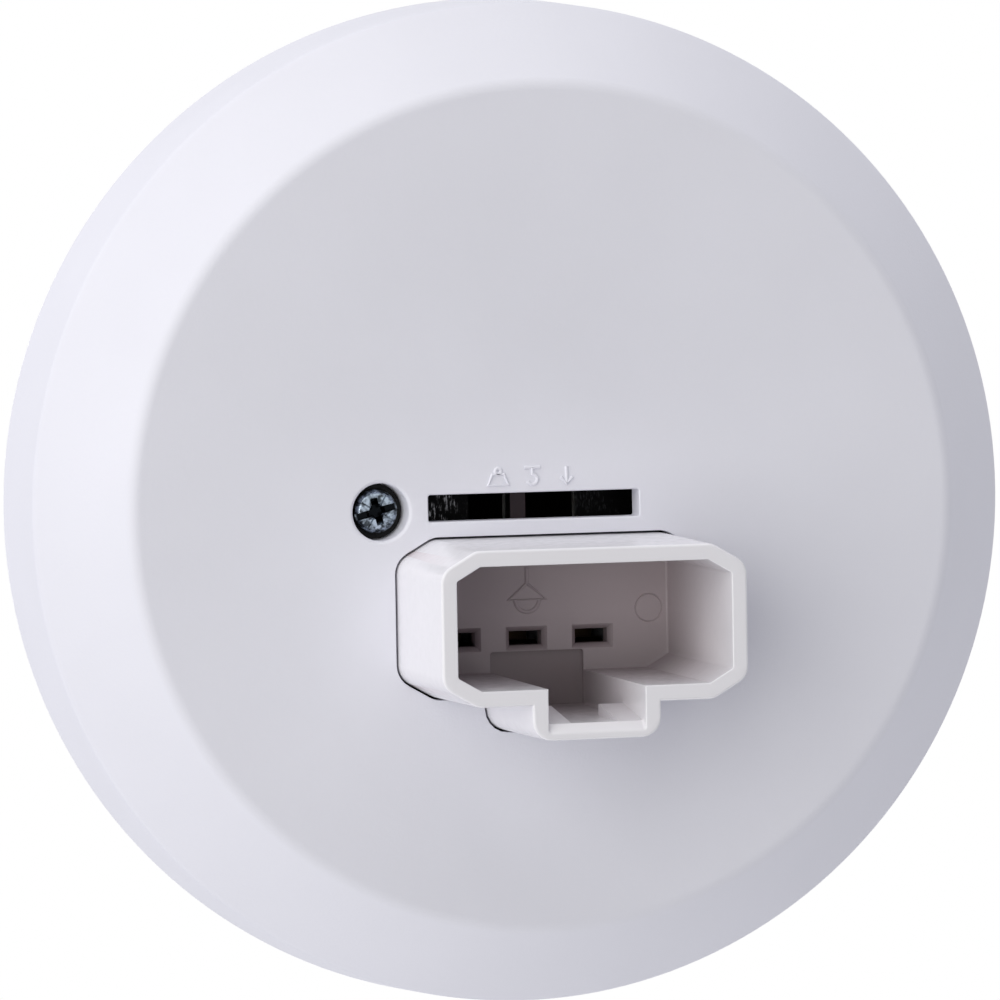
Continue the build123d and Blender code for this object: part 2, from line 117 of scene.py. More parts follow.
class CoverSizes(bpy.types.PropertyGroup):
    """Sizes of the round cover."""

    diameter: length("Diameter", "Outside diameter at the ceiling", 128.0)
    wall: length("Wall", "Thickness of the moulding", 2.5)
    rim_land: length("Rim land", "Upright band next to the ceiling", 1.0)
    rim_height: length("Rim height", "Depth where the side wall turns into the bevel", 14.4)
    rim_lean: length("Rim lean", "How far the side wall leans in", 1.1)
    face_depth: length("Face depth", "Depth of the flat face", 25.2)
    face_diameter: length("Face diameter", "Where the bevel would meet the face", 105.2)
    shoulder_radius: length("Shoulder radius", "Rounding between bevel and face", 2.4)
    crease_radius: length("Crease radius", "Rounding between side wall and bevel", 1.6)
    foot_radius: length("Foot radius", "Rounding of the rim at the ceiling", 0.3)
    slot_length: length("Hook slot length", "Length of the slot for the lamp hook", 27.1)
    slot_width: length("Hook slot width", "Width of the slot for the lamp hook", 3.35)
    slot_x: length("Hook slot X", "Middle of the slot", 1.9)
    slot_y: length("Hook slot Y", "Middle of the slot", 0.25)
    slot_corner: length("Hook slot corner", "Corner radius of the slot", 0.3)
    slot_lip: length("Hook slot lip", "Rounding of the slot's edge", 0.22)
    frame_border: length("Slot frame border", "Width of the raised frame inside", 1.0)
    frame_height: length("Slot frame height", "Height of the raised frame inside", 0.6)
    cut_out_lip: length("Cut-out lip", "Rounding of the edge round the socket", 0.1)
    socket_gap: length("Socket gap", "Dark gap between cover and socket", 0.28)
    well_diameter: length("Screw well", "Diameter of the well for the cover screw", 7.1)
    well_lip: length("Screw well lip", "Rounding of the well's edge", 0.5)
    well_wall: length("Screw well wall", "Wall of the boss round the well", 1.2)


class SocketSizes(bpy.types.PropertyGroup):
    """Sizes of the lamp socket insert."""

    width: length("Mouth width", "Inside width of the collar", 34.5)
    height: length("Mouth height", "Inside height of the collar", 15.0)
    center_y: length("Middle Y", "Middle of the mouth", -13.4)
    chamfer_x: length("Chamfer X", "Corner cut along the width", 2.95)
    chamfer_y: length("Chamfer Y", "Corner cut along the height", 1.7)
    inner_corner: length("Inner corner", "Corner radius inside the mouth", 0.4)
    wall: length("Wall", "Thickness of the collar at its tip", 1.95)
    projection: length("Projection", "Height of the collar above the cover's face", 20.0)
    depth: length("Depth", "Depth of the floor below the tip", 26.9)
    floor: length("Floor", "Thickness of the floor", 2.4)
    draft: length("Draft", "Growth of the collar from its tip to the face", 0.349)
    tip_edge: length("Tip edge", "Rounding of the outer edge at the tip", 0.36)
    mouth_edge: length("Mouth edge", "Rounding of the inner edge at the tip", 0.16)
    floor_edge: length("Floor edge", "Rounding between wall and floor", 0.3)
    keyway_width: length("Keyway width", "Inside width of the keyway", 12.2)
    keyway_drop: length("Keyway drop", "Depth of the keyway below the mouth", 4.3)
    lead_in: length("Lead-in", "Slope at the keyway's edge", 1.1)
    recess_depth: length("Floor recess", "Depth of the sunk part of the floor", 0.7)
    recess_rise: length("Recess rise", "Reach of the sunk part above the mouth's bottom", 2.6)
    recess_corner: length("Recess corner", "Corner radius of the sunk part", 0.4)
    ramp_width: length("Ramp width", "Width of a latch ramp", 3.1)
    ramp_rise: length("Ramp rise", "Height of a latch ramp", 1.4)
    ramp_length: length("Ramp length", "Length of a latch ramp", 8.9)
    contact_pitch: length("Contact pitch", "Spacing of the contact slots", 8.6)
    contact_x: length("Contact row X", "Middle of the contact row", 1.3)
    contact_drop: length("Contact row drop", "Contact row below the middle of the mouth", 3.3)
    slot_width: length("Contact slot width", "Width of a contact slot", 4.2)
    slot_height: length("Contact slot height", "Height of a contact slot", 1.8)
    funnel: length("Funnel", "Width of the slope round a contact slot", 0.6)
    funnel_depth: length("Funnel depth", "Depth of the slope round a contact slot", 0.7)
    ear_spacing: length("Ear spacing", "Spacing of the fixing holes", 49.0)
    ear_width: length("Ear width", "Width of the fixing ears", 8.0)
    ear_thickness: length("Ear thickness", "Thickness of the fixing ears", 2.0)
    ear_hole: length("Ear hole", "Diameter of the fixing holes", 3.3)
    guide_x: length("Hook guide X", "Middle of the rib behind the hook slot", 2.6)
    guide_width: length("Hook guide width", "Width of the rib", 1.9)
    guide_depth: length("Hook guide depth", "Rear face of the rib", 18.0)
    guide_thickness: length("Hook guide thickness", "Thickness of the rib", 2.0)
    guide_reach: length("Hook guide reach", "Length of the rib", 7.4)
    guide_corner: length("Hook guide corner", "Corner radius of the rib", 0.3)
    pin_mark: length("Pin mark", "Radius of the round moulding mark on the floor", 1.8)
    pin_mark_x: length("Pin mark X", "Middle of the round moulding mark", -14.72)
    pin_groove: length("Pin mark groove", "Fineness of the moulding mark's groove", 0.08)


class FixingSizes(bpy.types.PropertyGroup):
    """Sizes of the screws and rivets."""

    cover_screw_x: length("Cover screw X", "Axis of the cover screw", 21.45)
    head_radius: length("Head radius", "Radius of the pan head", 2.72)
    head_height: length("Head height", "Height of the pan head", 1.7)
    head_below_face: length("Head below face", "How far the head lies below the cover's face", 2.1)
    shank_radius: length("Shank radius", "Outside radius of the thread", 1.5)
    shank_length: length("Shank length", "Length below the head", 9.0)
    shank_play: length("Shank play", "Play of the shank in the cover", 0.2)
    thread_pitch: length("Thread pitch", "Rise of the thread for each turn", 0.5)
    slot_width: length("Slot width", "Width of the driver slot", 0.85)
    slot_depth: length("Slot depth", "Depth of the driver slot", 0.75)
    cross_reach: length("Cross reach", "Reach of each arm of the cross recess", 1.75)
    cross_width: length("Cross width", "Width of each arm of the cross recess", 0.92)
    cross_depth: length("Cross depth", "Depth of the cross recess", 1.3)
    slot_turn: angle("Slot turn", "How far the driver slot is turned", -15.0)
    retainer_thickness: length("Retainer", "Thickness of the captive washer", 0.5)
    socket_head: length("Socket screw head", "Height of a socket screw's head", 1.8)
    socket_pitch: length("Socket screw pitch", "Rise of a socket screw's thread", 1.1)
    socket_core: length("Socket screw core", "Radius inside a socket screw's thread", 1.2)
    rivet_dome: length("Rivet dome", "Height of a rivet's head", 1.0)
    rivet_shank: length("Rivet shank", "Radius of a rivet's shank", 1.2)


class FinishColours(bpy.types.PropertyGroup):
    """Base colours of the finishes."""

    cover: colour("Cover", "Matt moulding of the cover", 0.735, 0.735, 0.80)
    socket: colour("Socket", "Glossy moulding of the socket", 0.775, 0.765, 0.80)
    # Painted shade on the rib behind the hook slot, which is the socket's own white moulding: one colour for
    # its front, one for its sides.
    painted_rib_front_shade: colour("Rib front", "Shaded front of the rib in the hook slot", 0.064, 0.051, 0.056)
    painted_rib_side_shade: colour("Rib side", "Dark sides of that rib", 0.004, 0.004, 0.004)
    base: colour("Base", "Plain moulding of the base plate", 0.70, 0.70, 0.71)
    housing: colour("Housing", "Grey moulding of the terminal block", 0.30, 0.31, 0.33)
    button: colour("Button", "Release buttons", 0.78, 0.26, 0.04)
    # Painted shade: the bracket's underside, seen through the hook slot, takes this colour; the rest of the
    # sheet is ten times lighter.
    bracket: colour("Bracket", "Dark plated sheet of the hook bracket", 0.005, 0.005, 0.0053)
    zinc: colour("Zinc", "Bright plating of screws and rivets", 0.50, 0.53, 0.57)
    blued: colour("Blued zinc", "Darker plating of the cover screw", 0.40, 0.47, 0.56)
    brass: colour("Brass", "Contact strip", 0.05, 0.034, 0.022)
    spring: colour("Spring", "Bright spring strip", 0.58, 0.59, 0.61)
    retainer: colour("Retainer", "Black captive washer", 0.012, 0.012, 0.013)


class StageSettings(bpy.types.PropertyGroup):
    """Camera, light and floor."""

    camera_x: length("Camera X", "Place of the camera", 183.22)
    camera_y: length("Camera Y", "Place of the camera", 34.2)
    camera_z: length("Camera Z", "Place of the camera", -675.09)
    tilt: angle("Tilt", "Camera tilt", 2.816)
    swing: angle("Swing", "Camera swing", 15.228)
    roll: angle("Roll", "Camera roll", 0.994)
    lens: number("Lens", "Focal length on a 36 mm sensor", 196.35, unit="CAMERA")
    key_power: power("Key lamp", "Power of the key lamp", 10.6)
    high_power: power("High lamp", "Power of the upper fill", 3.5)
    low_power: power("Low lamp", "Power of the lower fill", 1.8)
    back_power: power("Back lamp", "Power of the lamp above", 3.6)
    lamp_tint: colour("Lamp tint", "Colour of the lamps' light", 1.0, 0.99, 0.945)
    lamp_distance: length("Lamp distance", "Distance of the lamps", 1200.0)
    key_size: length("Key lamp size", "Side of the key lamp", 1250.0)
    fill_size: length("Fill size", "Side of the two fill lamps", 1000.0)
    back_size: length("Back lamp size", "Side of the lamp above", 300.0)
    belt: number("Belt light", "Light of the surroundings at the horizon", 1.106)
    belt_tint: colour("Belt tint", "Colour of the surroundings' light", 0.935, 0.94, 1.0)
    above: number("Light above", "Light of the surroundings from above", 0.198)
    below: number("Light below", "Light of the surroundings from below", 0.0)
    floor_depth: length("Floor depth", "Depth of the floor below the ceiling", 1400.0)
    floor_side: length("Floor side", "Side of the floor", 8000.0)


def circle_outline(radius, center=(0.0, 0.0), steps=SMALL_STEPS):
    """Points round a circle."""
    turns = [2 * math.pi * step / steps for step in range(steps)]
    return [Vector(center) + radius * Vector((math.cos(turn), math.sin(turn))) for turn in turns]


def offset_outline(points, growth, steps=0):
    """An outline moved out by an even margin. Outer corners become arcs where steps are given."""
    moved = []
    for index, here in enumerate(points):
        before = (here - points[index - 1]).normalized()
        after = (points[(index + 1) % len(points)] - here).normalized()
        first = Vector((before.y, -before.x))
        second = Vector((after.y, -after.x))
        if steps and before.cross(after) > 0:
            span = first.angle(second)
            for step in range(steps + 1):
                moved.append(here + growth * (Matrix.Rotation(span * step / steps, 2) @ first))
        else:
            moved.append(here + growth * (first + second) / (1 + first.dot(second)))
    return moved


def rectangle(width, height, center=(0.0, 0.0)):
    """Corners of a rectangle, counter-clockwise."""
    return [Vector(center) + Vector((x * width / 2, y * height / 2)) for x, y in CORNERS]


def rounded_rectangle(width, height, center, radius, growth=0.0, steps=EDGE_STEPS):
    """Rectangle with round corners, grown by an even margin."""
    corners = rectangle(width - 2 * radius, height - 2 * radius, center)
    return offset_outline(corners, radius + growth, steps)


def rounded_path(points, radii, steps):
    """An open line whose inner corners are replaced by tangent arcs."""
    points = [Vector(point) for point in points]
    path = [points[0]]
    for before, here, after, radius in zip(points, points[1:], points[2:], radii):
        if not radius:
            path.append(here)
            continue
        inward = (here - before).normalized()
        turn = inward.angle_signed((after - here).normalized())
        start = here - inward * radius * math.tan(abs(turn) / 2)
        side = Vector((-inward.y, inward.x)) if turn < 0 else Vector((inward.y, -inward.x))
        center = start + side * radius
        for step in range(steps + 1):
            path.append(center + Matrix.Rotation(-turn * step / steps, 2) @ (start - center))
    path.append(points[-1])
    return path


def quarter(radius):
    """Steps of a rounded edge: how far along the face and how far down the wall each lies."""
    turns = [math.pi / 2 * step / EDGE_STEPS for step in range(EDGE_STEPS + 1)]
    return [(radius * (1 - math.sin(turn)), radius * (1 - math.cos(turn))) for turn in turns]


def add_object(name, data):
    """Links a new object to the scene."""
    piece = bpy.data.objects.new(name, data)
    bpy.context.scene.collection.objects.link(piece)
    return piece


def add_mesh(name, mesh):
    """Turns a working mesh into an object."""
    data = bpy.data.meshes.new(name)
    mesh.to_mesh(data)
    mesh.free()
    return add_object(name, data)


def discard(*pieces):
    """Removes helper objects once they have been used."""
    for piece in pieces:
        bpy.data.objects.remove(piece)


class Skin:
    """Builds a skin from rings of points below the ceiling."""

    def __init__(self):
        self.mesh = bmesh.new()

    def ring(self, outline, depth):
        """One ring of points, at a depth or at a depth for each point."""
        depths = depth if isinstance(depth, list) else [depth] * len(outline)
        return [self.mesh.verts.new((point.x, point.y, -down)) for point, down in zip(outline, depths)]

    def wall(self, *rings):
        """Joins each ring to the next."""
        for first, second in zip(rings, rings[1:]):
            for corners in zip(first, first[1:] + first[:1], second[1:] + second[:1], second):
                self.mesh.faces.new(corners)

    def cap(self, *rings):
        """Fills the flat area inside the first ring and outside the others."""
        edges = []
        for ring in rings:
            for pair in zip(ring[-1:] + ring[:-1], ring):
                edges.append(self.mesh.edges.get(pair) or self.mesh.edges.new(pair))
        bmesh.ops.triangle_fill(self.mesh, use_beauty=True, edges=edges)

    def turned(self, profile, center=(0.0, 0.0), steps=SMALL_STEPS):
        """A turned wall round an axis, from (radius, depth) points."""
        rings = [self.ring(circle_outline(radius, center, steps), depth) for radius, depth in profile]
        self.wall(*rings)
        return rings

    def piece(self, name):
        """The finished mesh as an object, with its faces turned outwards."""
        bmesh.ops.remove_doubles(self.mesh, verts=self.mesh.verts, dist=MERGE_DISTANCE)
        bmesh.ops.dissolve_degenerate(self.mesh, dist=MERGE_DISTANCE, edges=self.mesh.edges)
        bmesh.ops.recalc_face_normals(self.mesh, faces=self.mesh.faces)
        return add_mesh(name, self.mesh)


def loft(name, sections):
    """A solid through outlines at their depths, with a flat end on the first and the last."""
    skin = Skin()
    rings = [skin.ring(outline, depth) for outline, depth in sections]
    skin.wall(*rings)
    skin.cap(rings[0])
    skin.cap(rings[-1])
    return skin.piece(name)


def prism(name, outline, top, bottom):
    """A block with one outline between two depths."""
    return loft(name, ((outline, top), (outline, bottom)))


def lathe(name, profile, axis=(0.0, 0.0), steps=SMALL_STEPS):
    """A solid turned round an upright axis, from (radius, depth) points."""
    return loft(name, [(circle_outline(radius, axis, steps), depth) for radius, depth in profile])


def evaluated_mesh(piece):
    """A new mesh of a piece with its modifiers applied."""
    bpy.context.view_layer.update()
    evaluated = piece.evaluated_get(bpy.context.evaluated_depsgraph_get())
    return bpy.data.meshes.new_from_object(evaluated)


def plain_mesh(piece):
    """Turns a piece and its modifiers into a plain mesh."""
    data = evaluated_mesh(piece)
    if not data.polygons:
        raise RuntimeError(piece.name + " came out empty")
    data.name = piece.name
    piece.modifiers.clear()
    piece.data = data
    return piece


def combine(piece, other, operation):
    """Joins another piece to this one, or cuts it out, and removes the other."""
    change = piece.modifiers.new(operation.title(), "BOOLEAN")
    change.operation = operation
    change.object = other
    change.solver = "EXACT"
    faces = len(piece.data.polygons)
    plain_mesh(piece)
    if len(piece.data.polygons) == faces:
        raise RuntimeError(other.name + " made no change to " + piece.name)
    discard(other)


def join(first, second, name):
    """Two pieces made into one object."""
    mesh = bmesh.new()
    mesh.from_mesh(first.data)
    mesh.from_mesh(second.data)
    discard(first, second)
    return add_mesh(name, mesh)


def smooth(piece):
    """Smooth faces, with sharp edges past an angle and flat areas kept flat."""
    piece.data.shade_smooth()
    piece.data.set_sharp_from_angle(angle=SHARP_ANGLE)
    piece.modifiers.new("Flat faces stay flat", "WEIGHTED_NORMAL").keep_sharp = True
    return piece


def dress(piece, material, slot, *nodes, body=BODY):
    """Gives a piece its finish, its body and the solids it stands for."""
    piece.data.materials.clear()
    piece.data.materials.append(material)
    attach(piece, body)
    if nodes:
        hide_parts(*nodes)


def dress_copy(node, name, edge, material, slot, body=BODY):
    """Stands a copy in for a solid, with its flat faces merged and its edges rounded."""
    mesh = bmesh.new()
    mesh.from_mesh(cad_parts[node].data)
    bmesh.ops.remove_doubles(mesh, verts=mesh.verts, dist=MERGE_DISTANCE)
    bmesh.ops.dissolve_limit(mesh, angle_limit=FLAT_ANGLE, verts=mesh.verts, edges=mesh.edges)
    piece = add_mesh(name, mesh)
    bevel = piece.modifiers.new("Moulded edges", "BEVEL")
    bevel.width = edge
    bevel.segments = 2
    bevel.limit_method = "ANGLE"
    bevel.angle_limit = SHARP_ANGLE
    bevel.use_clamp_overlap = False
    dress(smooth(plain_mesh(piece)), material, slot, node, body=body)


class Graph:
    """A node tree that is built one node at a time. A node stands for its first output."""

    def __init__(self, tree):
        self.tree = tree

    def add(self, kind, feeds=(), **settings):
        """A new node with its settings and with what feeds its inputs."""
        node = self.tree.nodes.new(kind)
        for name, value in settings.items():
            setattr(node, name, value)
        for name, value in dict(feeds).items():
            self.feed(node.inputs[name], value)
        return node

    def feed(self, target, value):
        """Gives an input a plain value, a colour of three parts, or another node's output."""
        if isinstance(value, bpy.types.Node):
            value = value.outputs[0]
        if isinstance(value, bpy.types.NodeSocket):
            self.tree.links.new(value, target)
        elif target.type == "RGBA":
            target.default_value = (*value, 1)
        else:
            target.default_value = value

    def math(self, operation, *values):
        """One step of arithmetic."""
        return self.add("ShaderNodeMath", enumerate(values), operation=operation)

    def span(self, value, low, high, to_low=0.0, to_high=1.0):
        """A level that runs between two others while a value runs from low to high."""
        feeds = {"Value": value, "From Min": low, "From Max": high, "To Min": to_low, "To Max": to_high}
        return self.add("ShaderNodeMapRange", feeds)

    def blend(self, factor, first, second, kind="MIX"):
        """A colour that runs from one to another."""
        feeds = {"Factor": factor, "A": first, "B": second}
        return self.add("ShaderNodeMix", feeds, data_type="RGBA", blend_type=kind).outputs["Result"]

    def ramp(self, value, *stops):
        """A colour that runs through stops, the first at 0 and the last at 1."""
        node = self.add("ShaderNodeValToRGB", {"Fac": value})
        for place, rgb in stops[1:-1]:
            node.color_ramp.elements.new(place)
        for element, (place, rgb) in zip(node.color_ramp.elements, stops):
            element.color = (*rgb, 1)
        return node

    def seen_rays(self, *others):
        """One on the light paths of the camera, of reflections and of the others named."""
        path = self.add("ShaderNodeLightPath").outputs
        seen = self.math("MAXIMUM", path["Is Camera Ray"], path["Is Glossy Ray"])
        for name in others:
            seen = self.math("MAXIMUM", seen, path[name])
        return seen


class Group(Graph):
    """A node group with named inputs and outputs."""

    def __init__(self, name, kind, inputs, outputs):
        super().__init__(bpy.data.node_groups.new(name, kind))
        for direction, sockets in (("INPUT", inputs), ("OUTPUT", outputs)):
            for label, socket in sockets.items():
                self.tree.interface.new_socket(name=label, in_out=direction, socket_type=socket)
        self.source = self.add("NodeGroupInput").outputs
        self.sink = self.add("NodeGroupOutput").inputs


def geometry_group(name, inputs):
    """A geometry tree that takes a piece, a material and its own inputs."""
    inputs = {"Geometry": GEOMETRY, "Material": MATERIAL, **inputs}
    return Group(name, "GeometryNodeTree", inputs, {"Geometry": GEOMETRY})


def end_tree(group, geometry):
    """Ends a geometry tree: its result is realized and gets the material."""
    realize = group.add("GeometryNodeRealizeInstances", {"Geometry": geometry})
    feeds = {"Geometry": realize, "Material": group.source["Material"]}
    group.feed(group.sink["Geometry"], group.add("GeometryNodeSetMaterial", feeds))
    return group


def copies(group, copied, points, **feeds):
    """The object of a named input, set on each point."""
    info = group.add("GeometryNodeObjectInfo", {"Object": group.source[copied]})
    feeds.update(Points=points, Instance=info.outputs["Geometry"])
    return group.add("GeometryNodeInstanceOnPoints", feeds)


def copies_tree():
    """Copies of one object, set on each point of a piece."""
    group = geometry_group("Copies on points", {"Copied": OBJECT})
    return end_tree(group, copies(group, "Copied", group.source["Geometry"]))


def cuts_tree():
    """A piece with one cutter taken out of it again and again, each time a step and a turn on."""
    places = {"Start": VECTOR, "Step": VECTOR, "First turn": FLOAT, "Turn": FLOAT}
    group = geometry_group("Repeated cuts", {"Cutter": OBJECT, "Count": INTEGER, **places})
    source = group.source
    feeds = {"Count": source["Count"], "Start Location": source["Start"], "Offset": source["Step"]}
    row = group.add("GeometryNodeMeshLine", feeds)
    index = group.add("GeometryNodeInputIndex")
    turn = group.math("MULTIPLY_ADD", index, source["Turn"], source["First turn"])
    spin = group.add("ShaderNodeCombineXYZ", {"Z": turn})
    cutters = copies(group, "Cutter", row, Rotation=spin)
    solid = group.add("GeometryNodeRealizeInstances", {"Geometry": cutters})
    feeds = {"Mesh 1": source["Geometry"], "Mesh 2": solid}
    cut = group.add("GeometryNodeMeshBoolean", feeds, operation="DIFFERENCE", solver="EXACT")
    return end_tree(group, cut)


def thread_tree():
    """A shank with a screw thread: a sharp ridge wound round an upright axis."""
    inputs = {"Turns": FLOAT, "Radius": FLOAT, "Rise": FLOAT, "Ridge": FLOAT, "Place": VECTOR}
    group = geometry_group("Screw thread", inputs)
    source = group.source
    radius = source["Radius"]
    feeds = {"Rotations": source["Turns"], "Start Radius": radius, "End Radius": radius}
    feeds.update({"Height": source["Rise"], "Resolution": 28})
    spiral = group.add("GeometryNodeCurveSpiral", feeds)
    feeds = {"Radius": source["Ridge"], "Resolution": 4}
    section = group.add("GeometryNodeCurvePrimitiveCircle", feeds)
    feeds = {"Curve": spiral, "Profile Curve": section, "Fill Caps": True}
    ridge = group.add("GeometryNodeCurveToMesh", feeds)
    feeds = {"Geometry": ridge, "Translation": source["Place"]}
    placed = group.add("GeometryNodeTransform", feeds)
    both = group.add("GeometryNodeJoinGeometry", {"Geometry": source["Geometry"]})
    group.feed(both.inputs["Geometry"], placed)
    return end_tree(group, both)


def run_tree(piece, group, **inputs):
    """Runs a geometry tree on a piece with these inputs and keeps the result as a plain mesh."""
    modifier = piece.modifiers.new(group.tree.name, "NODES")
    modifier.node_group = group.tree
    items = [item for item in group.tree.interface.items_tree if item.in_out == "INPUT"]
    identifiers = {item.name: item.identifier for item in items}
    for name, value in inputs.items():
        modifier[identifiers[name.replace("_", " ")]] = value
    return plain_mesh(piece)


def set_on_points(name, source, points, material):
    """Copies of one piece on a few points, as one plain mesh."""
    data = bpy.data.meshes.new(name)
    data.from_pydata(points, [], [])
    piece = run_tree(add_object(name, data), copies_tree(), Copied=source, Material=material)
    discard(source)
    return smooth(piece)


def grain_group(name):
    """Fine grain of a moulding: its height, and a slow drift of tone over the surface."""
    inputs = {"Vector": VECTOR, "Grain scale": FLOAT, "Drift scale": FLOAT}
    group = Group(name, "ShaderNodeTree", inputs, {"Height": FLOAT, "Drift": FLOAT})
    place, fine, coarse = group.source["Vector"], group.source["Grain scale"], group.source["Drift scale"]
    grain = group.add("ShaderNodeTexNoise", {"Vector": place, "Scale": fine, "Detail": 3.0})
    pits = group.add("ShaderNodeTexVoronoi", {"Vector": place, "Scale": fine})
    drift = group.add("ShaderNodeTexNoise", {"Vector": place, "Scale": coarse, "Detail": 2.0})
    pit_share = 0.6
    group.feed(group.sink["Height"], group.math("MULTIPLY_ADD", pits, pit_share, grain))
    group.feed(group.sink["Drift"], drift)
    return group.tree


def scuff_group(name):
    """Fine scratches along one direction, broken into patches, as a mask and as a height."""
    inputs = {"Vector": VECTOR, "Scale": FLOAT, "Stretch": VECTOR, "Turn": VECTOR}
    group = Group(name, "ShaderNodeTree", inputs, {"Mask": FLOAT, "Height": FLOAT})
    source = group.source
    feeds = {"Vector": source["Vector"], "Rotation": source["Turn"], "Scale": source["Stretch"]}
    place = group.add("ShaderNodeMapping", feeds)
    lines = group.add("ShaderNodeTexNoise", {"Vector": place, "Scale": source["Scale"], "Detail": 4.0})
    feeds = {"Vector": source["Vector"], "Scale": 500.0, "Detail": 3.0}
    patches = group.add("ShaderNodeTexNoise", feeds)
    line_levels, patch_levels = (0.53, 0.66), (0.42, 0.60)
    mask = group.math("MULTIPLY", group.span(lines, *line_levels), group.span(patches, *patch_levels))
    group.feed(group.sink["Mask"], mask)
    group.feed(group.sink["Height"], lines)
    return group.tree


class Finish(Graph):
    """One material round a Principled shader, with patterns on Object coordinates."""

    def __init__(self, name):
        self.material = bpy.data.materials.new(name)
        self.material.use_nodes = True
        super().__init__(self.material.node_tree)
        self.shader = self.tree.nodes["Principled BSDF"].inputs
        self.place = self.add("ShaderNodeTexCoord").outputs["Object"]

    def effect(self, name, build, **values):
        """The outputs of a shared effect, built once and given this finish's own values."""
        tree = bpy.data.node_groups.get(name) or build(name)
        feeds = {label.replace("_", " "): value for label, value in values.items()}
        return self.add("ShaderNodeGroup", {"Vector": self.place, **feeds}, node_tree=tree).outputs

    def scuffs(self, scale, stretch, turn=0.0):
        """Scratches: their mask and their height."""
        return self.effect("Scuffs", scuff_group, Scale=scale, Stretch=stretch, Turn=(0, 0, turn))

    def axes(self):
        """The place on the piece as X, Y and Z."""
        return self.add("ShaderNodeSeparateXYZ", {"Vector": self.place}).outputs

    def surface(self, tone, height, smoothest, roughest, relief, metallic=0.0):
        """Sets the colour, a gloss that varies with the relief, and the relief's real height."""
        gloss = self.span(height, 0, 1, smoothest, roughest)
        bump = self.add("ShaderNodeBump", {"Strength": 1.0, "Distance": relief, "Height": height})
        feeds = {"Base Color": tone, "Roughness": gloss, "Normal": bump, "Metallic": metallic}
        for name, value in feeds.items():
            self.feed(self.shader[name], value)
        return self.material


def scaled(rgb, factor):
    """A colour made darker or lighter."""
    return tuple(min(1.0, part * factor) for part in rgb)


def moulding(name, rgb, rough, grain_scale, relief, drift=0.03, sheen=0.5):
    """Moulded plastic: grain, a slow drift of tone and uneven gloss. Gives the finish and its tone."""
    finish = Finish(name)
    grain = finish.effect("Moulding grain", grain_group, Grain_scale=grain_scale, Drift_scale=60.0)
    tone = finish.blend(grain["Drift"], scaled(rgb, 1 - drift), scaled(rgb, 1 + drift))
    unevenness = 0.06
    finish.surface(tone, grain["Height"], rough - unevenness, rough + unevenness, relief)
    finish.feed(finish.shader["IOR"], 1.5)
    finish.feed(finish.shader["Specular IOR Level"], sheen)
    return finish, tone


def moulded_finish(name, *values, **options):
    """A moulded finish, made once and shared."""
    return bpy.data.materials.get(name) or moulding(name, *values, **options)[0].material


def metal_finish(name, rgb, rough, scuff_scale, scuffed, stretch=(1.0, 14.0, 14.0)):
    """Plated or bare metal: drawn lines, scratches that catch the light and uneven gloss."""
    finish = Finish(name)
    scuffs = finish.scuffs(scuff_scale, stretch, turn=0.5)
    tone = finish.blend(scuffs["Mask"], rgb, scaled(rgb, scuffed))
    gloss = {"smoothest": rough - 0.08, "roughest": rough + 0.12}
    return finish.surface(tone, scuffs["Height"], **gloss, relief=SCRATCH_DEPTH, metallic=1.0)


def cover_finish(scene):
    """Matt grained moulding of the cover."""
    rgb = scene.outlet_colours.cover
    return moulded_finish("Cover moulding", rgb, rough=0.52, grain_scale=2600.0, relief=0.012 * MM)


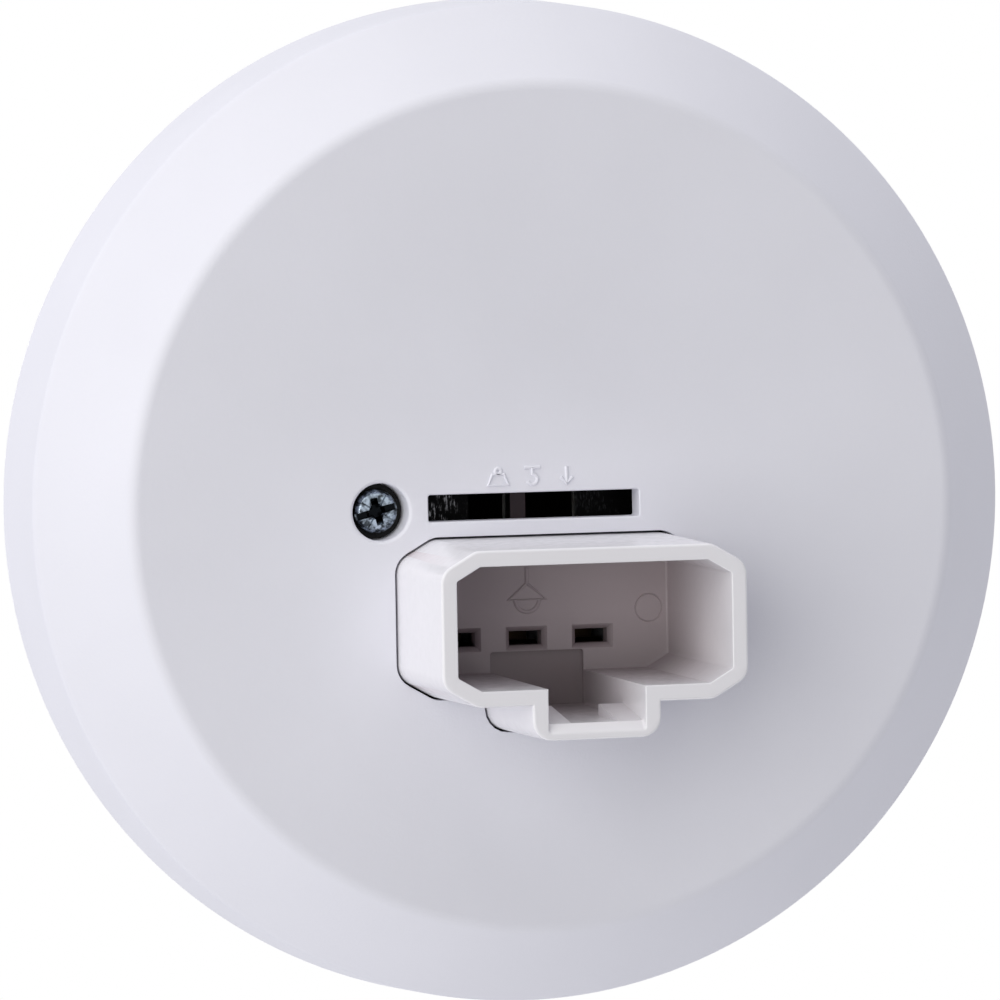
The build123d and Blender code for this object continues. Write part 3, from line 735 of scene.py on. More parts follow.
def socket_finish(scene):
    """Glossy moulding with painted shade: warmer and darker down inside the mouth, and dark and without
    gloss on the rib behind the hook slot.
    """
    name = "Socket moulding"
    if name in bpy.data.materials:
        return bpy.data.materials[name]
    size = scene.outlet_socket
    colours = scene.outlet_colours
    finish, tone = moulding(
        name, colours.socket, rough=0.2, grain_scale=900.0, relief=0.002 * MM, drift=0.015, sheen=0.3
    )
    x, y, z = finish.axes()
    tip = -scene.outlet_cover.face_depth - size.projection
    middle, half_height = size.center_y, size.height / 2
    margin = size.wall / 2
    across = finish.math("ABSOLUTE", x)
    away = finish.math("ABSOLUTE", finish.math("SUBTRACT", y, middle))

    def within(half_width, reach):
        """One inside a rectangle round the middle of the mouth, nought outside it."""
        columns = finish.math("LESS_THAN", across, half_width + margin)
        return finish.math("MULTIPLY", columns, finish.math("LESS_THAN", away, reach + margin))

    keyway = within(size.keyway_width / 2, half_height + size.keyway_drop)
    keyway = finish.math("MULTIPLY", keyway, finish.math("LESS_THAN", y, middle))
    inside = finish.math("MAXIMUM", within(size.width / 2, half_height), keyway)
    # Painted shade: down inside the mouth the moulding turns warmer and darker with depth, and darker still
    # low down towards the floor.
    down = finish.span(z, tip, tip + size.depth + size.recess_depth)
    painted_depth_shade = finish.ramp(
        down,
        (0.0, (1.0, 1.0, 1.0)),
        (0.4, (1.0, 0.965, 0.965)),
        (0.978, (0.73, 0.65, 0.65)),
        (1.0, (0.49, 0.42, 0.42)),
    )
    low = finish.span(y, middle, middle - half_height)
    dim_start, dim_end, dim_share = 0.5 * size.depth, 0.9 * size.depth, 0.28
    far = finish.span(z, tip + dim_start, tip + dim_end, to_high=dim_share)
    painted_inner_shade = finish.blend(finish.math("MULTIPLY", low, far), painted_depth_shade, (0, 0, 0))
    shade = finish.blend(inside, tone, painted_inner_shade, "MULTIPLY")
    # Painted shade: the rib behind the hook slot is dark at its front and nearly black on its sides, and its
    # gloss is turned off.
    guide_front = -size.guide_depth - size.guide_thickness
    above = finish.math("GREATER_THAN", y, middle + half_height + size.wall)
    behind = finish.math("MULTIPLY", above, finish.math("GREATER_THAN", z, guide_front - margin))
    fade_start, fade_end = 0.1 * MM, 0.35 * MM
    painted_side_share = finish.span(z, guide_front + fade_start, guide_front + fade_end)
    rib = finish.blend(painted_side_share, colours.painted_rib_front_shade, colours.painted_rib_side_shade)
    finish.feed(finish.shader["Base Color"], finish.blend(behind, shade, rib))
    sheen = finish.shader["Specular IOR Level"]
    shown = finish.math("SUBTRACT", 1.0, behind)
    finish.feed(sheen, finish.math("MULTIPLY", shown, sheen.default_value))
    return finish.material


def bracket_finish(scene, underside):
    """Dark plating with painted shade: its underside is ten times darker than the rest, and lighter
    scratched patches lie on it near one end of the slot.
    """
    dark = scene.outlet_colours.bracket
    slot_end = scene.outlet_cover.slot_x + scene.outlet_cover.slot_length / 2
    finish = Finish("Bracket plating")
    scuffs = finish.scuffs(scale=600.0, stretch=(9.0, 2.0, 9.0), turn=0.15)
    x, _, z = finish.axes()
    # Painted shade: the underside, within a small depth, is ten times darker than the rest of the sheet.
    # Lighter scratched patches lie on it near one end of the hook slot.
    skin_depth, patch_start, patch_end = 0.4 * MM, 7.0 * MM, 4.0 * MM
    upper, bright = scaled(dark, 10.0), scaled(dark, 90.0)
    below = finish.math("LESS_THAN", z, underside + skin_depth)
    patch_reach = finish.span(x, slot_end - patch_start, slot_end - patch_end, to_low=0.05)
    bright_patches = finish.math("MULTIPLY", finish.math("MULTIPLY", scuffs["Mask"], patch_reach), below)
    tone = finish.blend(bright_patches, finish.blend(below, upper, dark), bright)
    gloss = {"smoothest": 0.37, "roughest": 0.57}
    return finish.surface(tone, scuffs["Height"], **gloss, relief=SCRATCH_DEPTH, metallic=1.0)


def screw_finish(scene, axis, top):
    """Zinc plating with painted dark reflections in patches, and painted shade that darkens it down in the
    driver recess.
    """
    blued = scene.outlet_colours.blued
    finish = Finish("Cover screw plating")
    scuffs = finish.scuffs(scale=1500.0, stretch=(1.0, 1.0, 4.0))
    x, y, z = finish.axes()
    x = finish.math("SUBTRACT", x, axis[0])
    y = finish.math("SUBTRACT", y, axis[1])
    squares = finish.math("ADD", finish.math("MULTIPLY", x, x), finish.math("MULTIPLY", y, y))
    reach = finish.math("SQRT", squares)
    # The head's top is a slight cone that curves away past its middle part.
    middle_radius, cone_slope, edge_curve = 2.0 * MM, 0.044, 700.0
    edge = finish.math("MAXIMUM", finish.math("SUBTRACT", reach, middle_radius), 0.0)
    dome = finish.math("MULTIPLY", finish.math("MULTIPLY", edge, edge), edge_curve)
    cone = finish.math("MULTIPLY", reach, cone_slope)
    fall = finish.math("SUBTRACT", finish.math("ADD", z, top), cone)
    # Painted shade: the plating turns nearly black down in the driver recess, below the head's top.
    recess_start, recess_end = 0.1 * MM, 0.5 * MM
    painted_recess_shade = finish.span(finish.math("SUBTRACT", fall, dome), recess_start, recess_end)
    # Painted reflections: random patches over the plating turn it nearly black, standing in for dark
    # reflections.
    feeds = {"Vector": finish.place, "Scale": 1500.0, "Detail": 2.0}
    dark_reflection_levels, dark_reflection_share = (0.36, 0.58), 0.9
    painted_dark_reflections = finish.span(finish.add("ShaderNodeTexNoise", feeds), *dark_reflection_levels, to_high=dark_reflection_share)
    black = scaled(blued, 0.015)
    tone = finish.blend(finish.math("MAXIMUM", painted_recess_shade, painted_dark_reflections), blued, black)
    gloss = {"smoothest": 0.16, "roughest": 0.4}
    return finish.surface(tone, scuffs["Height"], **gloss, relief=0.03 * MM, metallic=1.0)


def mouth_corners(size):
    """Corners of the collar's mouth, counter-clockwise."""
    half = size.width / 2
    inset = half - size.chamfer_x
    top = size.center_y + size.height / 2
    bottom = size.center_y - size.height / 2
    key = size.keyway_width / 2
    right = [
        (inset, top),
        (half, top - size.chamfer_y),
        (half, bottom + size.chamfer_y),
        (inset, bottom),
        (key, bottom),
        (key, bottom - size.keyway_drop),
    ]
    left = [(-x, y) for x, y in right]
    return [Vector(corner) for corner in (*left, *reversed(right))]


def collar_outline(size, growth):
    """Outline of the collar at a margin from its mouth, with round corners."""
    skeleton = offset_outline(mouth_corners(size), -size.inner_corner)
    return offset_outline(skeleton, size.inner_corner + growth, EDGE_STEPS)


class OUTLET_OT_cover(bpy.types.Operator):
    """Build the round cover with its screw well, hook slot and socket cut-out"""

    bl_idname = "outlet.cover"
    bl_label = "Cover"

    def execute(self, context):
        size = context.scene.outlet_cover
        socket = context.scene.outlet_socket
        fixing = context.scene.outlet_fixings
        skin = Skin()
        axis = (fixing.cover_screw_x, 0.0)
        face = size.face_depth
        inside = face - size.wall
        outer_line, inner_line = self.profiles(size)
        outer_rings = skin.turned(outer_line, steps=ROUND_STEPS)
        inner_rings = skin.turned(inner_line, steps=ROUND_STEPS)
        skin.wall(inner_rings[-1], outer_rings[0])

        def lipped(outline, lip, bottom):
            """A hole through the face with a rounded edge."""
            rings = [skin.ring(outline(along), face - down) for along, down in quarter(lip)]
            rings.append(skin.ring(outline(0), bottom))
            skin.wall(*rings)
            return rings

        def socket_outline(grow):
            return collar_outline(socket, socket.wall + socket.draft + size.socket_gap + grow)

        def slot_outline(grow):
            place = (size.slot_x, size.slot_y)
            return rounded_rectangle(size.slot_length, size.slot_width, place, size.slot_corner, grow)

        def well_outline(grow):
            return circle_outline(size.well_diameter / 2 + grow, axis)

        cut_out = lipped(socket_outline, size.cut_out_lip, inside)
        frame_top = inside - size.frame_height
        slot = lipped(slot_outline, size.slot_lip, frame_top)
        slot_frame = [skin.ring(slot_outline(size.frame_border), depth) for depth in (frame_top, inside)]
        skin.wall(slot[-1], *slot_frame)
        well_floor = face - fixing.head_below_face - fixing.head_height - fixing.retainer_thickness
        hole = fixing.shank_radius + fixing.shank_play
        boss = size.well_diameter / 2 + size.well_wall
        boss_top = -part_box("hook_bracket")[0].z
        well = lipped(well_outline, size.well_lip, well_floor)
        well_line = [(hole, well_floor), (hole, boss_top), (boss, boss_top), (boss, inside)]
        well_inner = skin.turned(well_line, axis)
        skin.wall(well[-1], well_inner[0])
        skin.cap(outer_rings[-1], cut_out[0], slot[0], well[0])
        skin.cap(inner_rings[0], cut_out[-1], slot_frame[-1], well_inner[-1])
        dress(smooth(skin.piece("cover_shell")), cover_finish(context.scene), "cover_white", "cover")
        return {"FINISHED"}

    def profiles(self, size):
        """Section of the dish outside, from the ceiling to the face, and inside, the other way."""
        rim = size.diameter / 2
        crease = rim - size.rim_lean
        shoulder = size.face_diameter / 2
        corners = [
            (rim - size.foot_radius, 0),
            (rim, 0),
            (rim, size.rim_land),
            (crease, size.rim_height),
            (shoulder, size.face_depth),
            (shoulder / 2, size.face_depth),
        ]
        # The foot's arc stays a little short of the corner that it starts from.
        foot = size.foot_radius * 0.98
        outer = rounded_path(corners, [foot, 0, size.crease_radius, size.shoulder_radius], ARC_STEPS)[:-1]
        bevel_turn = math.atan2(size.face_depth - size.rim_height, crease - shoulder)
        crease_rise = size.wall * math.tan((math.pi / 2 - bevel_turn) / 2)
        inner = [
            (shoulder - size.wall * math.tan(bevel_turn / 2), size.face_depth - size.wall),
            (crease - size.wall, size.rim_height - crease_rise),
            (rim - size.wall, 0),
        ]
        return outer, inner


class OUTLET_OT_socket(bpy.types.Operator):
    """Build the lamp socket with its collar, keyway, ramps and contact slots"""

    bl_idname = "outlet.socket"
    bl_label = "Lamp socket"

    def execute(self, context):
        size = context.scene.outlet_socket
        face = context.scene.outlet_cover.face_depth
        tip = face + size.projection
        floor = tip - size.depth
        rear = floor - size.floor
        keyway_floor = size.center_y - size.height / 2 - size.keyway_drop
        material = socket_finish(context.scene)
        piece = self.collar(size, face, tip, floor, rear, keyway_floor)
        for extra in (*self.ramps(size, tip, keyway_floor), self.ears(size, rear), self.guide(size)):
            combine(piece, extra, "UNION")
        sunk = (self.recess(size, floor, keyway_floor), self.pin_mark(size, floor))
        for cutter in (*sunk, *self.ear_holes(size, rear)):
            combine(piece, cutter, "DIFFERENCE")
        self.contact_slots(piece, size, floor, rear, material)
        dress(smooth(piece), material, "socket_white", "socket_body")
        return {"FINISHED"}

    def collar(self, size, face, tip, floor, rear, keyway_floor):
        """The drafted collar as one closed skin, from its rear face round the tip to the floor."""
        tolerance = 0.01 * MM

        def section(growth, depth, lead=0.0):
            """The collar's outline, with the bottom of the keyway moved out by a lead-in."""
            low = keyway_floor + size.inner_corner + max(-growth, 0) + tolerance
            slope = Vector((0, lead))
            outline = collar_outline(size, growth)
            return [point - slope if point.y < low else point for point in outline], depth

        root = size.wall + size.draft
        sections = [section(root, rear), section(root, face)]
        for along, down in reversed(quarter(size.tip_edge)):
            sections.append(section(size.wall - along, tip - down))
        for along, down in quarter(size.mouth_edge):
            sections.append(section(along, tip - down, size.lead_in - down))
        sections.append(section(0, tip - size.lead_in))
        for along, down in reversed(quarter(size.floor_edge)):
            sections.append(section(-along, floor + down))
        return loft("socket_insert", sections)

    def ramps(self, size, tip, keyway_floor):
        """The two latch ramps on the bottom of the keyway."""
        root = size.wall / 4
        start = tip - size.lead_in
        end = start - size.ramp_length
        profile = [
            (keyway_floor - root, start),
            (keyway_floor, start),
            (keyway_floor + size.ramp_rise, end),
            (keyway_floor - root, end),
        ]
        depths = [depth for y, depth in profile]
        inner = size.keyway_width / 2 - size.ramp_width
        outer = size.keyway_width / 2 + root
        for side in SIDES:
            ends = [[Vector((side * x, y)) for y, depth in profile] for x in (inner, outer)]
            yield loft("latch_ramp", [(end_outline, depths) for end_outline in ends])

    def ears(self, size, rear):
        """The bar across the rear that carries the fixing ears."""
        span = size.ear_spacing + size.ear_width
        # Just short of a half circle, so that the corners of the bar stay apart.
        radius = size.ear_width / 2 * 0.999
        outline = rounded_rectangle(span, size.ear_width, (0, size.center_y), radius, steps=16)
        return prism("ears", outline, rear, rear + size.ear_thickness)

    def guide(self, size):
        """The rib behind the hook slot, rooted in the collar."""
        block_top = size.center_y + size.height / 2 + size.wall + size.draft
        low, high = block_top - size.wall / 2, block_top + size.guide_reach
        place = (size.guide_x, (low + high) / 2)
        outline = rounded_rectangle(size.guide_width, high - low, place, size.guide_corner)
        return prism("hook_guide", outline, size.guide_depth, size.guide_depth + size.guide_thickness)

    def recess(self, size, floor, keyway_floor):
        """Cutter for the sunk part of the floor."""
        shy = 0.02 * MM
        half = size.keyway_width / 2 - shy
        low = keyway_floor + shy
        high = keyway_floor + size.keyway_drop + size.recess_rise
        corners = [(half, low), (half, high), (-half, high), (-half, low)]
        outline = rounded_path(corners, [size.recess_corner] * 2, EDGE_STEPS)
        above = floor + 2.5 * size.floor_edge
        return prism("recess_cutter", outline, floor - size.recess_depth, above)

    def pin_mark(self, size, floor):
        """Cutter for the round moulding mark: a shallow dish inside a groove."""
        groove = size.pin_groove
        sunk = floor - groove / 2
        rim = size.pin_mark + groove
        profile = [
            (groove / 4, sunk),
            (size.pin_mark - 2 * groove, sunk),
            (size.pin_mark - groove, floor - 2 * groove),
            (rim, floor + groove / 4),
            (rim, floor + size.floor_edge),
        ]
        return lathe("mark_cutter", profile, (size.pin_mark_x, size.center_y))

    def ear_holes(self, size, rear):
        """Cutters for the two holes of the socket screws."""
        for side in SIDES:
            place = (side * size.ear_spacing / 2, size.center_y)
            outline = circle_outline(size.ear_hole / 2, place, SCREW_STEPS)
            spare = size.ear_thickness
            yield prism("ear_hole_cutter", outline, rear - spare / 2, rear + size.ear_thickness + spare)

    def contact_slots(self, piece, size, floor, rear, material):
        """Cuts the row of contact slots, each with a sloped mouth."""
        slot = rectangle(size.slot_width, size.slot_height)
        mouth = offset_outline(slot, size.funnel)
        sections = [
            (mouth, floor + size.funnel_depth),
            (mouth, floor),
            (slot, floor - size.funnel_depth),
            (slot, rear - size.floor),
        ]
        cutter = loft("contact_slot_cutter", sections)
        start = (size.contact_x - size.contact_pitch, size.center_y - size.contact_drop, 0)
        step = (size.contact_pitch, 0, 0)
        row = {"Count": len(POLES), "Start": start, "Step": step, "First_turn": 0.0, "Turn": 0.0}
        run_tree(piece, cuts_tree(), Cutter=cutter, Material=material, **row)
        discard(cutter)


def pan_head(name, radius, seat, top, axis=(0.0, 0.0)):
    """A pan head from its seat to the middle of its top."""
    height = top - seat
    rim = seat + 0.93 * height
    corners = [(POLE_RADIUS, seat), (radius, seat), (radius, rim), (POLE_RADIUS, top)]
    seat_edge, top_edge = 0.12 * MM, 0.42 * height
    return lathe(name, rounded_path(corners, [seat_edge, top_edge], steps=8), axis)


def threaded_shank(
    seat, end, core, point, pitch, ridge, start, short, material, axis=(0.0, 0.0), steps=SCREW_STEPS
):
    """A shank from a screw head's seat to its end. The point is its end's radius and length.

    The thread starts a little off the seat and stops short of the end.
    """
    bite = 0.3 * MM
    profile = [(core, seat + bite), (core, end + point[1]), (point[0], end)]
    rise = seat - end - short
    thread = {"Turns": rise / pitch, "Radius": core, "Rise": rise, "Ridge": ridge}
    shank = lathe("screw_shank", profile, axis, steps)
    return run_tree(shank, thread_tree(), Place=(*axis, start - seat), Material=material, **thread)


class OUTLET_OT_cover_screw(bpy.types.Operator):
    """Build the cover screw with its driver slot, cross recess and thread, and its captive washer"""

    bl_idname = "outlet.cover_screw"
    bl_label = "Cover screw"

    def execute(self, context):
        scene = context.scene
        size = scene.outlet_fixings
        axis = (size.cover_screw_x, 0.0)
        top = scene.outlet_cover.face_depth - size.head_below_face
        seat = top - size.head_height
        material = screw_finish(scene, axis, top)
        head = pan_head("cover_screw_head", size.head_radius, seat, top, axis)
        self.cut_ticks(head, size, axis, top, material)
        self.cut_recess(head, size, axis, top)
        ridge = 0.2 * MM
        core = size.shank_radius - ridge
        point = (core - 0.45 * MM, 0.5 * MM)
        shank = threaded_shank(
            seat, seat - size.shank_length, core, point, size.thread_pitch, ridge,
            start=0.2 * MM, short=1.0 * MM, material=material, axis=axis,
        )
        screw = join(head, shank, "cover_screw_piece")
        dress(smooth(screw), material, "zinc_steel", "cover_screw")
        retainer = scene.outlet_colours.retainer
        look = {"rough": 0.5, "grain_scale": 1500.0, "relief": 0.006 * MM, "sheen": 0.15}
        black = moulded_finish("Retainer moulding", retainer, **look)
        edge = 0.08 * MM
        dress_copy("screw_retainer", "screw_retainer_washer", edge, black, "retainer_black")
        return {"FINISHED"}

    def cut_ticks(self, head, size, axis, top, material):
        """Four fine ticks between the arms of the cross."""
        tick_length, tick_width, tick_corner = 1.3 * MM, 0.2 * MM, 0.08 * MM
        reach, depth, spare = 1.6 * MM, 0.4 * MM, 0.2 * MM
        outline = rounded_rectangle(tick_length, tick_width, (reach, 0), tick_corner, steps=2)
        cutter = prism("tick_cutter", outline, top - depth, top + spare)
        turns = {"First_turn": size.slot_turn + math.pi / 4, "Turn": math.pi / 2}
        row = {"Count": 4, "Start": (*axis, 0), "Step": (0, 0, 0), **turns}
        run_tree(head, cuts_tree(), Cutter=cutter, Material=material, **row)
        discard(cutter)

    def cut_recess(self, head, size, axis, top):
        """The driver slot, the two arms of the cross and the bowl where they meet."""
        slot = (3 * size.head_radius, size.slot_width)
        arm = (2 * size.cross_reach, size.cross_width)
        slot_taper, arm_taper = 1.0, 0.45
        above = top + 1.0 * MM
        for turn, block, depth, taper in (
            (0, slot, size.slot_depth, slot_taper),
            (0, arm, size.cross_depth, arm_taper),
            (math.pi / 2, arm, size.cross_depth, arm_taper),
        ):
            spin = Matrix.Rotation(size.slot_turn + turn, 2)
            sections = []
            for scale, level in ((taper, top - depth), (1, top), (1, above)):
                corners = rectangle(block[0] * scale, block[1] * (1 + scale) / 2)
                sections.append(([Vector(axis) + spin @ corner for corner in corners], level))
            combine(head, loft("driver_cutter", sections), "DIFFERENCE")
        bowl = [(1.2 * MM, top + 0.3 * MM), (1.05 * MM, top), (0.25 * MM, top - 1.15 * MM)]
        combine(head, lathe("bowl_cutter", bowl, axis, steps=24), "DIFFERENCE")


class OUTLET_OT_fixings(bpy.types.Operator):
    """Build the socket screws and the bracket rivets"""

    bl_idname = "outlet.fixings"
    bl_label = "Screws and rivets"

    def execute(self, context):
        size = context.scene.outlet_fixings
        zinc = context.scene.outlet_colours.zinc
        look = {"rough": 0.24, "scuff_scale": 900.0, "scuffed": 1.25, "stretch": (1.0, 1.0, 6.0)}
        material = metal_finish("Zinc plating", zinc, **look)
        self.screws(size, context.scene.outlet_socket, material)
        self.rivets(size, material)
        return {"FINISHED"}

    def screws(self, size, socket, material):
        """Two slotted screws through the socket's ears."""
        low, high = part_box("socket_screws")
        top, end = -low.z, -high.z
        seat = top - size.socket_head
        radius = (high.y - low.y) / 2
        head = pan_head("socket_screw_head", radius, seat, top)
        slot = rectangle(3 * radius, size.slot_width)
        slot_depth, spare = 0.6 * MM, 1.0 * MM
        combine(head, prism("driver_cutter", slot, top - slot_depth, top + spare), "DIFFERENCE")
        core, ridge = size.socket_core, 0.24 * MM
        point = (core * 0.6, 0.4 * MM)
        shank = threaded_shank(
            seat, end, core, point, size.socket_pitch, ridge,
            start=0.3 * MM, short=1.4 * MM, material=material, steps=32,
        )
        screw = join(head, shank, "socket_screw")
        places = [(side * socket.ear_spacing / 2, socket.center_y, 0) for side in SIDES]
        pair = set_on_points("socket_screw_pair", screw, places, material)
        dress(pair, material, "zinc_steel", "socket_screws")

    def rivets(self, size, material):
        """Two rivets with a domed head on each side."""
        low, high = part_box("bracket_rivets")
        radius = (high.y - low.y) / 2
        dome = [
            (POLE_RADIUS, 0.0),
            (radius * 0.55, 0.12 * MM),
            (radius * 0.88, 0.45 * MM),
            (radius, size.rivet_dome),
            (size.rivet_shank, size.rivet_dome),
        ]
        profile = [(across, -high.z + down) for across, down in dome]
        profile += [(across, -low.z - down) for across, down in reversed(dome)]
        rivet = lathe("rivet", profile, steps=SCREW_STEPS)
        places = [(side * (high.x - radius), (low.y + high.y) / 2, 0) for side in SIDES]
        pair = set_on_points("bracket_rivet_pair", rivet, places, material)
        dress(pair, material, "zinc_steel", "bracket_rivets")


def raised_lines(name, strokes, depth, width):
    """Thin raised lines on a surface, half sunk into it. A stroke is its points and whether it closes."""
    curve = bpy.data.curves.new(name, "CURVE")
    curve.dimensions = "3D"
    curve.bevel_depth = width / 2
    curve.bevel_resolution = 3
    curve.use_fill_caps = True
    for points, closed in strokes:
        spline = curve.splines.new("POLY")
        spline.points.add(len(points) - 1)
        for target, (x, y) in zip(spline.points, points):
            target.co = (x, y, -depth, 1)
        spline.use_cyclic_u = closed
    holder = add_object(name + "_line", curve)
    skin = Skin()
    skin.mesh.from_mesh(evaluated_mesh(holder))
    discard(holder)
    return smooth(skin.piece(name))


def arc_points(center, radius, start, end, steps=20):
    """Points along an arc, by angles in degrees."""
    turns = [math.radians(start + (end - start) * step / steps) for step in range(steps + 1)]
    return [(center[0] + radius * math.cos(turn), center[1] + radius * math.sin(turn)) for turn in turns]


class OUTLET_OT_marks(bpy.types.Operator):
    """Add the plain raised marks: a lamp on the socket floor and three signs beside the hook slot"""

    bl_idname = "outlet.marks"
    bl_label = "Raised marks"

    def execute(self, context):
        scene = context.scene
        socket = scene.outlet_socket
        face = scene.outlet_cover.face_depth
        floor = face + socket.projection - socket.depth
        lamp_line, sign_line = 0.5 * MM, 0.44 * MM
        lamp = raised_lines("lamp_mark", self.lamp(), floor, lamp_line)
        dress(lamp, socket_finish(scene), "socket_white")
        middle, spacing = 2.1 * MM, 4.4 * MM
        low, high = 2.9 * MM, 5.0 * MM
        strokes = self.hook(middle, low, high)
        strokes += self.weight(middle + spacing, low)
        strokes += self.arrow(middle - spacing, low, high)
        hook = raised_lines("hook_mark", strokes, face, sign_line)
        dress(hook, cover_finish(scene), "cover_white")
        return {"FINISHED"}

    def lamp(self):
        """A hanging lamp: its lead, its shade and the bulb below."""
        x, top = 1.15 * MM, -7.8 * MM
        shade_top, shade_bottom, shade_half = -9.8 * MM, -11.86 * MM, 2.45 * MM
        bulb = 1.55 * MM
        return [
            ([(x, top), (x, shade_top)], False),
            ([(x, shade_top), (x + shade_half, shade_bottom), (x - shade_half, shade_bottom)], True),
            (arc_points((x, shade_bottom), bulb, 180, 360), False),
        ]

    def hook(self, x, low, high):
        """A hook under a short bar."""
        bar, bend = 1.0 * MM, 0.62 * MM
        curl = arc_points((x, low + bend), bend, 90, 340)
        return [([(x - bar, high), (x + bar, high)], False), ([(x, high), *curl], False)]

    def weight(self, x, low):
        """A weight with a ring on top."""
        foot, shoulder, rise = 1.3 * MM, 0.75 * MM, 1.35 * MM
        ring = 0.37 * MM
        body = [(x + foot, low), (x + shoulder, low + rise), (x - shoulder, low + rise), (x - foot, low)]
        return [(body, True), (arc_points((x, low + rise + ring), ring, 0, 342, steps=19), True)]

    def arrow(self, x, low, high):
        """An arrow that points down."""
        across, back = 0.75 * MM, 0.8 * MM
        point = [(x - across, low + back), (x, low), (x + across, low + back)]
        return [([(x, high), (x, low)], False), (point, False)]


class OUTLET_OT_bracket(bpy.types.Operator):
    """Dress the steel hook bracket"""

    bl_idname = "outlet.bracket"
    bl_label = "Hook bracket"

    def execute(self, context):
        steel = bracket_finish(context.scene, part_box("hook_bracket")[0].z)
        edge = 0.14 * MM
        dress_copy("hook_bracket", "hook_bracket_plate", edge, steel, "bracket_steel")
        return {"FINISHED"}


class OUTLET_OT_base(bpy.types.Operator):
    """Dress the ribbed base plate"""

    bl_idname = "outlet.base"
    bl_label = "Base plate"

    def execute(self, context):
        base = context.scene.outlet_colours.base
        look = {"rough": 0.46, "grain_scale": 1400.0, "relief": 0.008 * MM}
        white = moulded_finish("Base moulding", base, **look)
        edge = 0.22 * MM
        dress_copy("base_plate", "base_plate_moulding", edge, white, "base_white")
        return {"FINISHED"}


class OUTLET_OT_terminals(bpy.types.Operator):
    """Dress the terminal block, its lid, contacts and springs"""

    bl_idname = "outlet.terminals"
    bl_label = "Terminals"

    def execute(self, context):
        colours = context.scene.outlet_colours
        look = {"rough": 0.48, "grain_scale": 1400.0, "relief": 0.008 * MM}
        grey = moulded_finish("Housing moulding", colours.housing, **look)
        edge = 0.12 * MM
        for node, name in (("terminal_housing", "terminal_block"), ("terminal_lid", "terminal_block_lid")):
            dress_copy(node, name, edge, grey, "housing_grey")
        scale = 700.0
        brass = metal_finish("Contact strip", colours.brass, rough=0.4, scuff_scale=scale, scuffed=1.15)
        spring = metal_finish("Spring strip", colours.spring, rough=0.26, scuff_scale=scale, scuffed=1.2)
        for pole in POLES:
            for node, metal in (("contact_" + pole, brass), ("clamp_spring_" + pole, spring)):
                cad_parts[node].data.materials.clear()
                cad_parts[node].data.materials.append(metal)
        return {"FINISHED"}


class OUTLET_OT_buttons(bpy.types.Operator):
    """Build the three release buttons with their grip ridges"""

    bl_idname = "outlet.buttons"
    bl_label = "Release buttons"

    def execute(self, context):
        button = context.scene.outlet_colours.button
        look = {"rough": 0.34, "grain_scale": 1400.0, "relief": 0.004 * MM}
        orange = moulded_finish("Button moulding", button, **look)
        ridge_length, ridge_width, ridge_corner = 4.2 * MM, 0.42 * MM, 0.2 * MM
        ridge_height, ridge_root, ridge_sunk = 0.14 * MM, 0.1 * MM, 0.02 * MM
        pitch, edge = 0.75 * MM, 0.15 * MM
        for pole in POLES:
            node, body = "release_button_" + pole, "button_" + pole
            low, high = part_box(node)
            x, y = (low.x + high.x) / 2, (low.y + high.y) / 2
            dress_copy(node, node + "_cap", edge, orange, "button_orange", body)
            outline = rounded_rectangle(ridge_length, ridge_width, (0, 0), ridge_corner)
            ridge = prism("grip_ridge", outline, -ridge_height, ridge_root)
            places = [(x, y + step * pitch, high.z - ridge_sunk) for step in (-1, 0, 1)]
            ridges = set_on_points(node + "_grip", ridge, places, orange)
            dress(ridges, orange, "button_orange", body=body)
        return {"FINISHED"}


